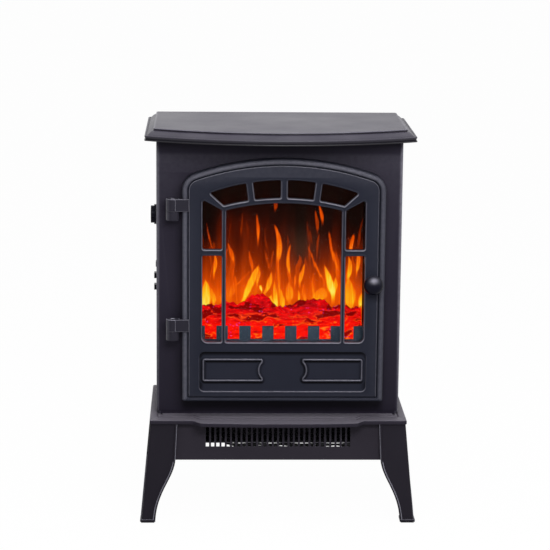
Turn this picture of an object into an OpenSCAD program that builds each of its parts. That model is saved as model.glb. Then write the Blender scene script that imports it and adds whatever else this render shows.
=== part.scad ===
// Free-standing electric stove with a glazed, hinged door, a flame effect and a fan heater.
// Millimetres. The origin is on the floor under the middle of the top plate. +Z is up and
// the door faces -Y.

/* [Overall] */
// Height from the floor to the top face
total_h = 585; // [560:1:620]
// Thickness of the cabinet's steel sheet
sheet = 1.5; // [1:0.1:2]

/* [Top plate] */
// Width of the top plate's lower edge
plate_w = 393; // [385:1:405]
// Depth of the top plate at the middle of its bowed front
plate_d = 268; // [260:1:280]
// How far the front bows out between the corners
plate_bow = 51; // [30:1:60]
// Height of the whole plate
plate_h = 16.5; // [15:0.5:20]
// Height of the upright edge band
plate_band_h = 6.5; // [5:0.5:8]
// Thickness of the raised upper slab
plate_slab_h = 3; // [2:0.5:4]
// Set-in of the raised slab at the sides
plate_slab_in = 12.5; // [8:0.5:16]
// Set-in of the raised slab at the front
plate_slab_front = 20; // [12:0.5:26]

/* [Cabinet] */
// Width of the cabinet
body_w = 361; // [350:1:370]
// Set-in of the cabinet's back from the plate's rear edge
body_back = 6; // [4:0.5:12]
// Set-back of the cabinet's front behind the plate's front corners
body_setback = 41; // [36:1:48]
// Height of the cabinet's lower edge above the floor
body_z0 = 158.5; // [157:0.5:162]
// Outside radius of the cabinet's front edges
body_r = 6; // [4:0.5:9]
// Depth of the front panel's folded returns
return_d = 25; // [15:1:32]

/* [Hearth] */
// Width of the hearth slab
hearth_w = 380; // [372:1:390]
// Thickness of the hearth slab
hearth_t = 6; // [5:0.5:8]
// Top face of the hearth slab above the floor
hearth_z = 154; // [152:0.5:156]
// Half width of the hearth's tongue in front of the door
tongue_half = 113; // [100:1:120]
// Width of the curved shoulder beside the tongue
shoulder_w = 15; // [10:1:20]
// How far the tongue stands out at its ends
tongue_out = 14.5; // [10:0.5:18]
// Extra bow of the tongue at its middle
tongue_bow = 4; // [2:0.5:8]
// Height of the raised field on the hearth
field_h = 1.2; // [0.8:0.1:2]
// Set-in of the raised field at the front
field_in = 27; // [20:1:32]

/* [Legs and aprons] */
// Half width across the outside of the feet
foot_half = 204; // [196:1:208]
// Half width across the outside of the legs at the top
leg_top_half = 188.6; // [182:0.2:192]
// How far the feet splay forwards
foot_out = 12; // [4:1:16]
// Set-back of the leg's top behind the hearth's front edge
leg_back = 3; // [1:0.5:6]
// Wall thickness of a leg
leg_t = 3; // [2.5:0.5:4]
// Width of a leg at the top
leg_w = 39.5; // [34:0.5:44]
// Width of a foot
foot_w = 22.5; // [18:0.5:26]
// Height at which the curved knee starts
knee_z = 96; // [88:1:104]
// Width of the rolled lip along the leg's inner edge
lip_w = 4; // [3:0.5:5]
// How far the lip and the foot's flange stand proud
lip_out = 1.8; // [1:0.1:2.5]
// Height of the rubber pad under a foot
pad_h = 1.5; // [1:0.5:3]
// Lower edge of the aprons
apron_z0 = 91.5; // [86:0.5:98]
// Thickness of the aprons
apron_t = 2; // [1.5:0.5:3]
// Set-back of the front apron behind the top of the legs
apron_back = 6; // [4:0.5:9]
// Number of air slots in the front apron
slot_n = 28; // [20:2:28]
// Distance between two slots
slot_pitch = 7.75; // [7:0.05:8]
// Width of a slot
slot_w = 4.8; // [4:0.1:5.4]
// Lower end of the slots
slot_z0 = 111.7; // [106:0.1:116]
// Height of the slots
slot_h = 31; // [26:0.5:32]

/* [Door] */
// Width of the door
door_w = 297; // [290:1:302]
// How far the door sits to the right of the middle
door_x = 6; // [4:0.5:8]
// Lower edge of the door
door_z0 = 178.5; // [174:0.5:184]
// Distance of the door's crown below the top plate
door_drop = 28.5; // [24:0.5:34]
// Radius of the door's arch
door_arch_r = 400; // [360:5:440]
// Radius of the door's top corners
door_corner_r = 26; // [20:0.5:30]
// Gap between the door and the cabinet
door_gap = 1.8; // [1.2:0.1:3]
// Depth of the door from its back to the panel's face
door_t = 19.2; // [17:0.1:22]
// Thickness of the web that holds the glass
web_t = 5; // [4:0.5:6]
// How far the panel stands in front of the web
panel_out = 2.5; // [2:0.5:3.5]
// Width of the round bead along the door's edge
bead_w = 8; // [6:0.5:9]
// How far the bead stands in front of the panel
bead_out = 3; // [2:0.5:4]
// Distance from the door's edge to the panel
panel_in = 10; // [9.5:0.5:13]
// Half width of the main window
win_half = 84.5; // [80:0.5:88]
// Lower edge of all windows
win_z0 = 268; // [264:0.5:274]
// Distance of the main window's crown below the door's crown
win_drop = 64.4; // [60:0.1:68]
// Width of the upright bars
bar_w = 6; // [5:0.5:7]
// Width of the frame beside the side panes
stile_w = 29.7; // [28:0.1:34]
// Distance of the lower side panes' top below the main window's crown
side_drop = 78.1; // [72:0.1:84]
// Height of the bar between the side panes
side_bar_h = 9; // [7:0.5:11]
// Rise of the side pane's slanted top
side_rise = 15.6; // [12:0.1:18]
// Gap between the main window and the fan panes
fan_gap = 7.2; // [6:0.1:9]
// Height of the fan panes at the middle
fan_h = 26.8; // [24:0.1:28]
// Radius of the fan's outer arc
fan_arc_r = 314; // [300:1:340]
// Distance from the door's edge to the recess under the windows
recess_in = 25.8; // [22:0.1:30]
// Lower edge of the recess
recess_z0 = 193.3; // [190:0.1:197]
// Height of the recess
recess_h = 59.7; // [56:0.1:62]
// Height of the two framed plaques
plaque_h = 35; // [30:0.5:38]
// Gap between a plaque and the end of the recess
plaque_gap = 4; // [3:0.5:7]
// Inner edge of a plaque from the door's middle
plaque_x = 27.2; // [24:0.1:30]

/* [Hinges and catch] */
// Outside diameter of a hinge knuckle
knuckle_d = 19.4; // [18:0.2:19.6]
// Height of a whole hinge
hinge_h = 31.4; // [28:0.2:34]
// Height of the half that turns with the door
arm_h = 17.9; // [16:0.1:20]
// Thickness of the arm
arm_t = 5; // [4:0.5:6]
// Distance of the upper hinge's foot below the door's crown
hinge_drop = 89.6; // [84:0.2:94]
// Distance between the hinges
hinge_pitch = 178.7; // [170:0.1:182]
// Diameter of a hinge pin
pin_d = 5; // [4:0.5:6]
// Diameter of the door knob
knob_d = 29; // [26:0.5:32]
// Height of the door knob's middle
knob_z = 357; // [350:0.5:364]

/* [Controls] */
// Distance of the controls behind the cabinet's front
ctrl_y = 79; // [70:1:90]
// Height of the thermostat dial's middle
dial_z = 441.8; // [436:0.2:448]
// Diameter of the dial plate
dial_d = 42; // [38:0.5:46]
// Diameter of the thermostat knob
tknob_d = 30; // [26:0.5:32]
// Height of the thermostat knob
tknob_h = 8; // [6:0.5:9]
// Height of the top button's middle
button_z = 366.6; // [362:0.2:372]
// Distance between two buttons
button_pitch = 17.6; // [16:0.1:20]
// Length of a button's cap
button_l = 14; // [11:0.5:16]
// Height of a button's cap
button_h = 8; // [7:0.2:9]
// How far a released button stands out of the cabinet
button_out = 5; // [4.5:0.1:6]
// Travel of a button
button_travel = 2.4; // [2:0.1:3]

/* [Fire] */
// Distance from the door's edge to the firebox's side wall
fire_in = 20.5; // [18:0.5:22]
// Floor of the firebox
fire_z0 = 256; // [254:0.5:258]
// Distance of the firebox's ceiling below the top plate
fire_drop = 48.5; // [44:0.5:54]
// Distance of the firebox's back in front of the cabinet's back
fire_back_gap = 28; // [24:0.5:34]
// Distance of the flame screen in front of the rotor's axis
screen_gap = 42; // [36:0.5:46]
// Width of a grate tooth
tooth_w = 17; // [14:0.5:20]
// Distance between two teeth
tooth_pitch = 34; // [32:0.5:36]
// Number of teeth
tooth_n = 8; // [6:2:8]
// Height of the grate's teeth
tooth_h = 29.5; // [26:0.5:32]
// Height of the bar under the teeth
grate_bar_h = 9.5; // [7:0.5:12]
// How far the row of teeth sits to the right of the middle
tooth_x = 1.7; // [-4:0.1:4]
// Height of the ember bed at the screen
ember_h = 72; // [64:1:78]
// Distance of the rotor's axis in front of the firebox's back
rotor_gap = 38; // [34:1:44]
// Height of the rotor's axis above the firebox floor
rotor_z = 49; // [44:1:56]
// Radius over the rotor's petals
rotor_r = 20; // [16:0.5:22]

/* [Heater] */
// Half width of the heater housing
heater_half = 112; // [106:1:116]
// Lowest face of the heater housing
heater_z0 = 117; // [116:0.5:120]
// Highest face of the heater housing
heater_z1 = 236; // [228:1:242]
// Distance of the heater housing behind the cabinet's front
heater_gap = 22; // [18:0.5:30]
// Distance of the blower's axis in front of the housing's back
wheel_gap = 50; // [44:0.5:54]
// Height of the blower's axis
wheel_z = 190; // [184:0.5:196]
// Length of the blower wheel
wheel_l = 150; // [130:1:160]
// Diameter of the blower wheel
wheel_d = 46; // [40:1:50]
// Number of vanes on the blower wheel
vane_n = 18; // [12:1:24]

/* [Hidden] */
$fn = 48;
eps = 0.01;
touch = 0.3;     // gap between faces that move past each other
run = 0.05;      // radial clearance of a turning shaft
hole_gap = 0.1;  // radial clearance round a screw
screw_d = 3.5;   // shank of the screws in the cabinet
steel_dark = "#34323a";
plastic_dark = "#2a2930";
zinc = "#b8b8b4";

// Frame of the cabinet
plate_back = plate_d / 2;
corner_y = plate_bow - plate_d / 2;
plate_z0 = total_h - plate_h;
plate_arc_r = (pow(plate_w / 2, 2) + plate_bow * plate_bow) / (2 * plate_bow);
body_y0 = corner_y + body_setback;
body_y1 = plate_back - body_back;
body_h = plate_z0 - body_z0;
hearth_z0 = hearth_z - hearth_t;
hearth_y1 = body_y1 + 4;
leg_y0 = corner_y + leg_back;
leg_y1 = plate_back - lip_out - foot_out;
leg_mid = (leg_y0 + leg_y1) / 2;
foot_py = leg_y0 - foot_out - lip_out + foot_w / 2;
sole_h = 4;
apron_y = leg_y0 + apron_back;
apron_half = leg_top_half - leg_w + 13;
apron_side_x = leg_top_half - leg_t - apron_back - apron_t;
apron_end = leg_y0 + leg_w - 13;
side_lap_z0 = hearth_z + 24;
side_lap_z1 = plate_z0 - 18;
inlet_x = body_w / 2 - 50;
inlet_z = body_z0 + 30;

// Frame of the door
door_back = body_y0 - door_gap;
door_face = door_back - door_t;
web_face = door_face + panel_out;
web_back = web_face + web_t;
glass_t = 3;
bead_face = door_face - bead_out;
door_z1 = plate_z0 - door_drop;
win_z1 = door_z1 - win_drop;
fan_z0 = win_z1 + fan_gap;
fan_z1 = fan_z0 + fan_h;
win_arc_r = 338;
side_x0 = win_half + bar_w;
side_x1 = door_w / 2 - stile_w;
side_low_z1 = win_z1 - side_drop;
side_top_z = win_z1 - arc_drop(win_arc_r, win_half);
side_up_z0 = side_low_z1 + side_bar_h;
bead_low = 5;
panel_low_gap = 1.6;
knob_dx = door_w / 2 - 17.5;
magnet_x = door_x + door_w / 2 - bead_w / 2;
glass_half = side_x1 + 7;
glass_z0 = win_z0 - 8;
glass_z1 = fan_z1 + 9;
recess_half = door_w / 2 - recess_in;
plaque_x1 = recess_half - plaque_gap;
// Fan panes right of the middle: inner top, outer top, outer bottom, inner bottom
fan_panes = [[5, 45.8, 42.5, 5], [55.7, side_x1 - 10.1, side_x1 - 30.8, 52.3]];

// Hinges
hinge_y = bead_face - arm_t - 1 + knuckle_d / 2;
hinge_x = door_x - door_w / 2 - 4 - knuckle_d / 2;
hinge_top_z = door_z1 - hinge_drop;
pin_z0 = 1.5;

// Controls
side_x = -body_w / 2;
ctrl_py = body_y0 + ctrl_y;
dial_t = 1.5;
shaft_d = 6;
bush_d = 10;
frame_t = 1.2;
frame_rim = 2;
slide_gap = 0.15;

// Fire and heater
fire_half = door_w / 2 - fire_in;
fire_z1 = plate_z0 - fire_drop;
screen_t = 2;
chamber_y1 = body_y1 - fire_back_gap;
rotor_py = chamber_y1 - rotor_gap;
screen_py = rotor_py - screen_gap;
wall_t = 1.2;
fire_front = body_y0 + sheet;
rotor_pz = fire_z0 + rotor_z;
grate_y = body_y0 + 9;
grate_t = 3;
ember_y0 = grate_y + grate_t + 2;
// Logs on the ember bed: x, length, diameter, turn seen from above, share of the bed's slope
logs = [[-78, 78, 22, 12, 0.72], [-8, 84, 24, -8, 0.80], [66, 80, 22, 9, 0.74], [-40, 64, 18, -20, 0.34],
  [34, 70, 19, 16, 0.36], [96, 46, 16, -24, 0.40], [-100, 40, 16, 26, 0.42]];
heater_y0 = body_y0 + heater_gap;
heater_y1 = chamber_y1;
duct_y0 = apron_y + apron_t + touch;
duct_z1 = hearth_z0 - 1;
wheel_x0 = -heater_half + 26;
wheel_y = heater_y1 - wheel_gap;
blower_shaft_d = 5;

// ---------- helpers ----------

function arc_drop(r, x) = r - sqrt(r * r - x * x);

function arc_points(cx, cy, r, a0, a1, n) =
  [for (i = [0:n]) let (a = a0 + (a1 - a0) * i / n) [cx + r * cos(a), cy + r * sin(a)]];

function reversed(list) = [for (i = [len(list) - 1:-1:0]) list[i]];

function mirrored(list) = [for (p = reversed(list)) [-p[0], p[1]]];

function bezier(p0, p1, p2, p3, n) =
  [for (i = [0:n]) let (t = i / n, u = 1 - t)
    u * u * u * p0 + 3 * u * u * t * p1 + 3 * u * t * t * p2 + t * t * t * p3];

// Outline with upright sides, round top corners and an arched top, about x = 0
function arch_points(half, z0, z1, r, rc, n = 24) =
  let (
    kx = half - rc,
    cz = z1 - r,
    kz = cz + sqrt(pow(r - rc, 2) - kx * kx),
    turn = atan2(kz - cz, kx),
    corner = arc_points(kx, kz, rc, 0, turn, 8),
    crown = arc_points(0, cz, r, turn, 180 - turn, n)
  )
  concat([[-half, z0], [half, z0]], corner, crown, mirrored(corner));

// A flat shape drawn in X and Z, standing between y0 and y0 + t
module upright(y0, t) {
  translate([0, y0 + t, 0]) rotate([90, 0, 0]) linear_extrude(t) children();
}

// A flat shape drawn in Y and Z, standing between x0 and x0 + t
module sideways(x0, t) {
  translate([x0, 0, 0]) rotate([90, 0, 90]) linear_extrude(t) children();
}

module box(x0, x1, y0, y1, z0, z1) {
  translate([x0, y0, z0]) cube([x1 - x0, y1 - y0, z1 - z0]);
}

// A block along X, centred on Y and Z
module block_x(x0, x1, half_y, half_z) {
  box(x0, x1, -half_y, half_y, -half_z, half_z);
}

module rod_x(x0, x1, d) {
  translate([x0, 0, 0]) rotate([0, 90, 0]) cylinder(d = d, h = x1 - x0);
}

// A block whose four sides lean: a and b are [x0, x1, y0, y1] at z0 and z1
module leaning_block(a, b, z0, z1) {
  polyhedron(
    points = [
      [a[0], a[2], z0], [a[1], a[2], z0], [a[1], a[3], z0], [a[0], a[3], z0],
      [b[0], b[2], z1], [b[1], b[2], z1], [b[1], b[3], z1], [b[0], b[3], z1]
    ],
    faces = [[0, 1, 2, 3], [7, 6, 5, 4], [4, 5, 1, 0], [5, 6, 2, 1], [6, 7, 3, 2], [7, 4, 0, 3]]
  );
}

// A pan-head screw along +Z: the head's seat is at z = 0 and the shank points down
module screw(d, l, head_d, head_h) {
  difference() {
    union() {
      cylinder(d = head_d, h = head_h);
      translate([0, 0, -l]) cylinder(d = d, h = l + eps);
    }
    for (a = [0, 90])
      rotate([0, 0, a]) box(-head_d * 0.3, head_d * 0.3, -0.4, 0.4, head_h * 0.4, head_h + 1);
  }
}

// ---------- top ----------

module plate_outline(side, front) {
  intersection() {
    translate([-plate_w / 2 + side, -plate_d / 2]) square([plate_w - 2 * side, plate_d - side / 4]);
    translate([0, plate_arc_r - plate_d / 2]) circle(r = plate_arc_r - front, $fn = 360);
  }
}

module top_screw_places() {
  for (x = [-1, 1], y = [body_y0 + 30, body_y1 - 30])
    translate([x * (body_w / 2 - 40), y, plate_z0 - sheet]) children();
}

module top_plate() color(steel_dark) difference() {
  union() {
    translate([0, 0, plate_z0]) linear_extrude(plate_band_h) plate_outline(0, 0);
    translate([0, 0, plate_z0 + plate_band_h - eps])
      linear_extrude(1.5 + eps) plate_outline(1.2, 1.2);
    translate([0, 0, plate_z0 + plate_band_h + 1.5 - eps])
      linear_extrude(2 + eps) plate_outline(plate_slab_in * 0.45, plate_slab_front * 0.4);
    translate([0, 0, plate_z0 + plate_band_h + 3.5 - eps])
      linear_extrude(plate_h - plate_band_h - 3.5 - plate_slab_h + 2 * eps)
        plate_outline(plate_slab_in * 0.85, plate_slab_front * 0.8);
    translate([0, 0, total_h - plate_slab_h])
      linear_extrude(plate_slab_h) plate_outline(plate_slab_in, plate_slab_front);
  }
  top_screw_places() cylinder(d = 4, h = 10 + sheet);
}

// Outline of the cabinet's front and sides, from one rear corner round to the other
function body_points(inset, y1) = concat(
  [[-body_w / 2 + inset, y1]],
  arc_points(-body_w / 2 + body_r, body_y0 + body_r, body_r - inset, 180, 270, 6),
  arc_points(body_w / 2 - body_r, body_y0 + body_r, body_r - inset, 270, 360, 6),
  [[body_w / 2 - inset, y1]]
);

module top_deck() color(zinc) difference() {
  union() {
    translate([0, 0, plate_z0 - sheet])
      linear_extrude(sheet) polygon(body_points(sheet, body_y1 - sheet));
    for (x = [-body_w / 2 + sheet, body_w / 2 - 2 * sheet])
      box(x, x + sheet, body_y0 + return_d, body_y1 - sheet, plate_z0 - 14, plate_z0 - sheet + eps);
    box(-body_w / 2 + sheet, body_w / 2 - sheet, body_y1 - 2 * sheet, body_y1 - sheet,
      plate_z0 - 14, plate_z0 - sheet + eps);
  }
  top_screw_places() translate([0, 0, -1]) cylinder(d = 4 + 2 * hole_gap, h = sheet + 2);
  back_screw_places() panel_screw_hole(6);
}

module top_screws() color(zinc)
  top_screw_places() mirror([0, 0, 1]) screw(4, 9, 8, 2.5);

// ---------- cabinet ----------

module panel_screw() {
  screw(screw_d, sheet + 4, 7.5, 2.2);
}

// Clearance hole for a panel screw, from 1 mm outside the head's seat down to a depth
module panel_screw_hole(depth) {
  translate([0, 0, -depth]) cylinder(d = screw_d + 2 * hole_gap, h = depth + 1);
}

module hinge_screw_places() {
  for (z = [hinge_top_z, hinge_top_z - hinge_pitch])
    translate([hinge_x, body_y0 + sheet, z + (hinge_h - arm_h) / 2]) rotate([-90, 0, 0]) children();
}

module front_panel() color(steel_dark) difference() {
  translate([0, 0, body_z0]) linear_extrude(body_h) polygon(concat(
    body_points(0, body_y0 + return_d),
    reversed(body_points(sheet, body_y0 + return_d))
  ));
  box(-fire_half + 1, fire_half - 1, body_y0 - 1, body_y0 + 3, fire_z0 + 3, fire_z1 - 3);
  hinge_screw_places() panel_screw_hole(sheet + 1);
  box(magnet_x - 4, magnet_x + 4, body_y0 - 1, body_y0 + 3, knob_z - 15, knob_z + 15);
}

// Right side: flat sheet, a lap behind the front panel and a flange behind the back panel
module side_panel_blank() difference() {
  union() {
    box(body_w / 2 - sheet, body_w / 2, body_y0 + return_d + 0.2, body_y1, body_z0, plate_z0);
    box(body_w / 2 - 2 * sheet, body_w / 2 - sheet, body_y0 + body_r, body_y0 + return_d + 8,
      side_lap_z0, side_lap_z1);
    box(body_w / 2 - 20, body_w / 2 - sheet, body_y1 - 2 * sheet, body_y1 - sheet,
      side_lap_z0, side_lap_z1);
  }
  back_screw_places() panel_screw_hole(6);
}

module right_side_panel() color(steel_dark) side_panel_blank();

module left_side_panel() color(steel_dark) difference() {
  mirror([1, 0, 0]) side_panel_blank();
  translate([side_x, ctrl_py, dial_z]) rod_x(-1, sheet + 1, bush_d + 2 * hole_gap);
  for (i = [0:2])
    at_button(i) block_x(-1, sheet + 1, button_l / 2 + frame_rim, button_h / 2 + frame_rim);
}

module back_screw_places() {
  for (x = [-1, 1], z = [body_z0 + 12, body_z0 + body_h * 0.36, body_z0 + body_h * 0.68, plate_z0 - 8])
    translate([x * (body_w / 2 - 12), body_y1, z]) rotate([-90, 0, 0]) children();
}

module vent_rows(z0, rows, cols) {
  for (row = [0:rows - 1], col = [0:cols - 1])
    box(-cols * 21 + col * 42 + 3, -cols * 21 + col * 42 + 39,
      body_y1 - 4, body_y1 + 2, z0 + row * 9, z0 + row * 9 + 4);
}

module back_panel() color(steel_dark) difference() {
  box(-body_w / 2 + sheet, body_w / 2 - sheet, body_y1 - sheet, body_y1, body_z0, plate_z0 - touch);
  vent_rows(body_z0 + 26, 6, 5);
  vent_rows(plate_z0 - 62, 4, 6);
  back_screw_places() panel_screw_hole(4);
  translate([inlet_x, body_y1 - 4, inlet_z]) rotate([-90, 0, 0]) cylinder(d = 12 + 2 * hole_gap, h = 6);
}

module panel_screws() color(zinc) {
  back_screw_places() panel_screw();
  hinge_screw_places() panel_screw();
}

module cord_inlet() color(plastic_dark) difference() {
  translate([inlet_x, body_y1, inlet_z]) rotate([-90, 0, 0]) {
    cylinder(d = 17, h = 3);
    translate([0, 0, -8]) cylinder(d = 12, h = 8 + eps);
    translate([0, 0, -sheet - 3]) cylinder(d = 16, h = 3);
  }
  translate([inlet_x, body_y1 - 9, inlet_z]) rotate([-90, 0, 0]) cylinder(d = 7, h = 14);
}

module heater_hole(gap) {
  box(-heater_half - gap, heater_half + gap, heater_y0 - gap, heater_y1 + gap, hearth_z0 - 1, heater_z1);
}

module base_tray() color(zinc) difference() {
  translate([0, 0, hearth_z]) linear_extrude(20) polygon(body_points(sheet, body_y1 - sheet));
  translate([0, 0, hearth_z + sheet])
    linear_extrude(20) polygon(body_points(2 * sheet, body_y1 - 2 * sheet));
  heater_hole(0.5);
  back_screw_places() panel_screw_hole(9);
}

// ---------- hearth ----------

function shoulder(t) = t * t * (3 - 2 * t);

function hearth_front(in_front) =
  let (
    y = corner_y + in_front,
    r = (pow(tongue_half, 2) + tongue_bow * tongue_bow) / (2 * tongue_bow),
    ends = [for (i = [0:10])
      [-tongue_half - shoulder_w * (1 - i / 10), y - tongue_out * shoulder(i / 10)]],
    bow = [for (i = [1:15])
      let (x = -tongue_half + tongue_half * i / 15) [x, y - tongue_out - tongue_bow + arc_drop(r, x)]]
  )
  concat(ends, bow);

function hearth_points(side, front) =
  let (left = hearth_front(front), x = hearth_w / 2 - side, n = len(left))
  concat(
    [[-x, hearth_y1 - side], [-x, corner_y + front]],
    left,
    [for (i = [n - 2:-1:0]) [-left[i][0], left[i][1]]],
    [[x, corner_y + front], [x, hearth_y1 - side]]
  );

module leg_screw_places() {
  for (s = [-1, 1], m = [0, 1], k = [0, 1]) {
    y = leg_y0 + 12 + 18 * k;
    translate([s * (leg_top_half - 17 - 9 * (1 - k)), m == 0 ? y : 2 * leg_mid - y, hearth_z0]) children();
  }
}

module hearth() color(steel_dark) difference() {
  union() {
    translate([0, 0, hearth_z0]) linear_extrude(hearth_t - field_h) polygon(hearth_points(0, 0));
    translate([0, 0, hearth_z - field_h - eps])
      linear_extrude(field_h + eps) polygon(hearth_points(5, field_in));
  }
  heater_hole(0.5);
  leg_screw_places() translate([0, 0, -1]) cylinder(d = 3.5, h = 5);
}

// ---------- aprons and legs ----------

module front_apron() color(steel_dark) difference() {
  box(-apron_half, apron_half, apron_y, apron_y + apron_t, apron_z0, hearth_z0);
  for (i = [0:slot_n - 1])
    box((i - (slot_n - 1) / 2) * slot_pitch - slot_w / 2, (i - (slot_n - 1) / 2) * slot_pitch + slot_w / 2,
      apron_y - 1, apron_y + apron_t + 1, slot_z0, slot_z0 + slot_h);
}

module rear_apron() color(steel_dark)
  box(-apron_half, apron_half, 2 * leg_mid - apron_y - apron_t, 2 * leg_mid - apron_y,
    apron_z0 + 20, hearth_z0);

module left_apron() color(steel_dark)
  box(-apron_side_x - apron_t, -apron_side_x, apron_end, 2 * leg_mid - apron_end, apron_z0, hearth_z0);

module right_apron() color(steel_dark) mirror([1, 0, 0]) left_apron();

// Inner edge of a leg's face, from the top down to the sole, as distances from the outside
function leg_edge(shift) =
  let (top = leg_top_half - leg_w, foot = foot_half - foot_w)
  concat(
    [[top + shift, hearth_z0]],
    bezier([top + 2.5 + shift, knee_z], [top + 4.5 + shift, knee_z - 30],
      [foot - 2 + shift, knee_z * 0.5], [foot + shift, pad_h], 16)
  );

// A leaning wall of the leg's front face, from depth in0 to depth in1 behind the face
module front_wall(in0, in1) {
  leaning_block(
    [100, foot_half - lip_out, leg_y0 - foot_out + in0, leg_y0 - foot_out + in1],
    [100, leg_top_half, leg_y0 + in0, leg_y0 + in1], pad_h, hearth_z0);
}

module side_wall(in0, in1) {
  leaning_block(
    [foot_half - lip_out - in1, foot_half - lip_out - in0, leg_y0 - foot_out, leg_y0 + 80],
    [leg_top_half - in1, leg_top_half - in0, leg_y0, leg_y0 + 80], pad_h, hearth_z0);
}

module leg_face_outline(shift) {
  edge = leg_edge(shift);
  polygon(concat([[foot_half + 10, hearth_z0]], edge, [[foot_half + 10, pad_h]]));
}

module leg_side_outline(shift) {
  offset_y = leg_y0 - foot_out + foot_half - lip_out;
  edge = [for (p = leg_edge(shift)) [offset_y - p[0], p[1]]];
  polygon(concat([[leg_y0 - foot_out - 10, hearth_z0]], edge, [[leg_y0 - foot_out - 10, pad_h]]));
}

module leg_blank() difference() {
  union() {
    intersection() {
      front_wall(0, leg_t);
      upright(leg_y0 - 40, 80) leg_face_outline(0);
    }
    intersection() {
      side_wall(0, leg_t);
      sideways(100, 120) leg_side_outline(0);
    }
    intersection() {
      front_wall(-lip_out, leg_t);
      upright(leg_y0 - 40, 80) difference() {
        leg_face_outline(0);
        leg_face_outline(lip_w);
      }
    }
    intersection() {
      side_wall(-lip_out, leg_t);
      sideways(100, 120) difference() {
        leg_side_outline(0);
        leg_side_outline(lip_w);
      }
    }
    box(foot_half - foot_w, foot_half, leg_y0 - foot_out - lip_out, leg_y0 - foot_out - lip_out + foot_w,
      pad_h, pad_h + sole_h);
    box(leg_top_half - leg_w + 2, leg_top_half - 1, leg_y0 + 1, leg_y0 + leg_w - 2,
      hearth_z0 - 3, hearth_z0);
    intersection() {
      front_wall(1, 20);
      box(leg_top_half - leg_w + 3, apron_half + 3, leg_y0 - 30, apron_y, knee_z, hearth_z0 - 1);
    }
    intersection() {
      side_wall(1, 20);
      box(apron_side_x + apron_t, foot_half, apron_end - 3, leg_y0 + leg_w - 3, knee_z, hearth_z0 - 1);
    }
  }
  box(leg_top_half - leg_w - 10, apron_half + touch, apron_y, apron_y + apron_t + touch,
    apron_z0 - 1, hearth_z0 + 1);
  box(apron_side_x - touch, apron_side_x + apron_t, apron_end - touch, apron_end + 40,
    apron_z0 - 1, hearth_z0 + 1);
  for (k = [0, 1])
    translate([leg_top_half - 17 - 9 * (1 - k), leg_y0 + 12 + 18 * k, hearth_z0 - 4])
      cylinder(d = 3.5 + 2 * hole_gap, h = 5);
}

module at_rear() translate([0, 2 * leg_mid, 0]) mirror([0, 1, 0]) children();

module leg_front_right() color(steel_dark) leg_blank();
module leg_front_left() color(steel_dark) mirror([1, 0, 0]) leg_blank();
module leg_rear_right() color(steel_dark) at_rear() leg_blank();
module leg_rear_left() color(steel_dark) at_rear() mirror([1, 0, 0]) leg_blank();

module foot_pads() color("#18181a")
  for (s = [-1, 1], m = [0, 1])
    translate([s * (foot_half - foot_w / 2), m == 0 ? foot_py : 2 * leg_mid - foot_py, 0])
      box(-foot_w / 2 + 1.5, foot_w / 2 - 1.5, -foot_w / 2 + 1.5, foot_w / 2 - 1.5, 0, pad_h);

module leg_screws() color(zinc)
  leg_screw_places() translate([0, 0, -3]) mirror([0, 0, 1]) screw(3.5, 6.5, 7, 2);

// ---------- door ----------

// The door's outline, set in at the sides and top by inset and at the bottom by low
module door_area(inset, low, rc) {
  translate([door_x, 0]) polygon(arch_points(door_w / 2 - inset, door_z0 + low, door_z1 - inset,
    door_arch_r - inset, rc));
}

module fan_pane(p) {
  up = [for (i = [0:8]) let (x = p[0] + (p[1] - p[0]) * i / 8) [x, fan_z1 - arc_drop(fan_arc_r, x)]];
  low = [for (i = [0:8]) let (x = p[2] + (p[3] - p[2]) * i / 8)
    [x, fan_z0 - arc_drop(win_arc_r + fan_gap, x)]];
  polygon(concat(up, low));
}

module side_panes() {
  polygon([[side_x0, side_up_z0], [side_x1, side_up_z0], [side_x1, side_top_z + side_rise],
    [side_x0, side_top_z]]);
  polygon(concat(
    [[side_x1, side_low_z1], [side_x0, side_low_z1], [side_x0, win_z0]],
    arc_points(side_x1 - 8, win_z0 + 8, 8, 270, 360, 6)
  ));
}

module windows() translate([door_x, 0]) {
  polygon(arch_points(win_half, win_z0, win_z1, win_arc_r, 3));
  for (s = [0, 1]) mirror([s, 0]) {
    for (p = fan_panes) fan_pane(p);
    side_panes();
  }
}

module rounded_area(half, z0, h, r) {
  polygon(concat(
    arc_points(half - r, z0 + r, r, 270, 360, 6), arc_points(half - r, z0 + h - r, r, 0, 90, 6),
    arc_points(-half + r, z0 + h - r, r, 90, 180, 6), arc_points(-half + r, z0 + r, r, 180, 270, 6)
  ));
}

// Right-hand plaque: square outside corners and a bracket-like end towards the middle
module plaque_area(inset) {
  mid = recess_z0 + recess_h / 2 + 2;
  h = plaque_h / 2 - inset;
  x0 = plaque_x + inset;
  x1 = plaque_x1 - inset;
  polygon(concat(
    [[x1, mid - h], [x1, mid + h], [x0, mid + h], [x0, mid + h - 5]],
    arc_points(x0, mid, max(h - 6, 2), 90, -90, 10),
    [[x0, mid - h + 5], [x0, mid - h]]
  ));
}

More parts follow.
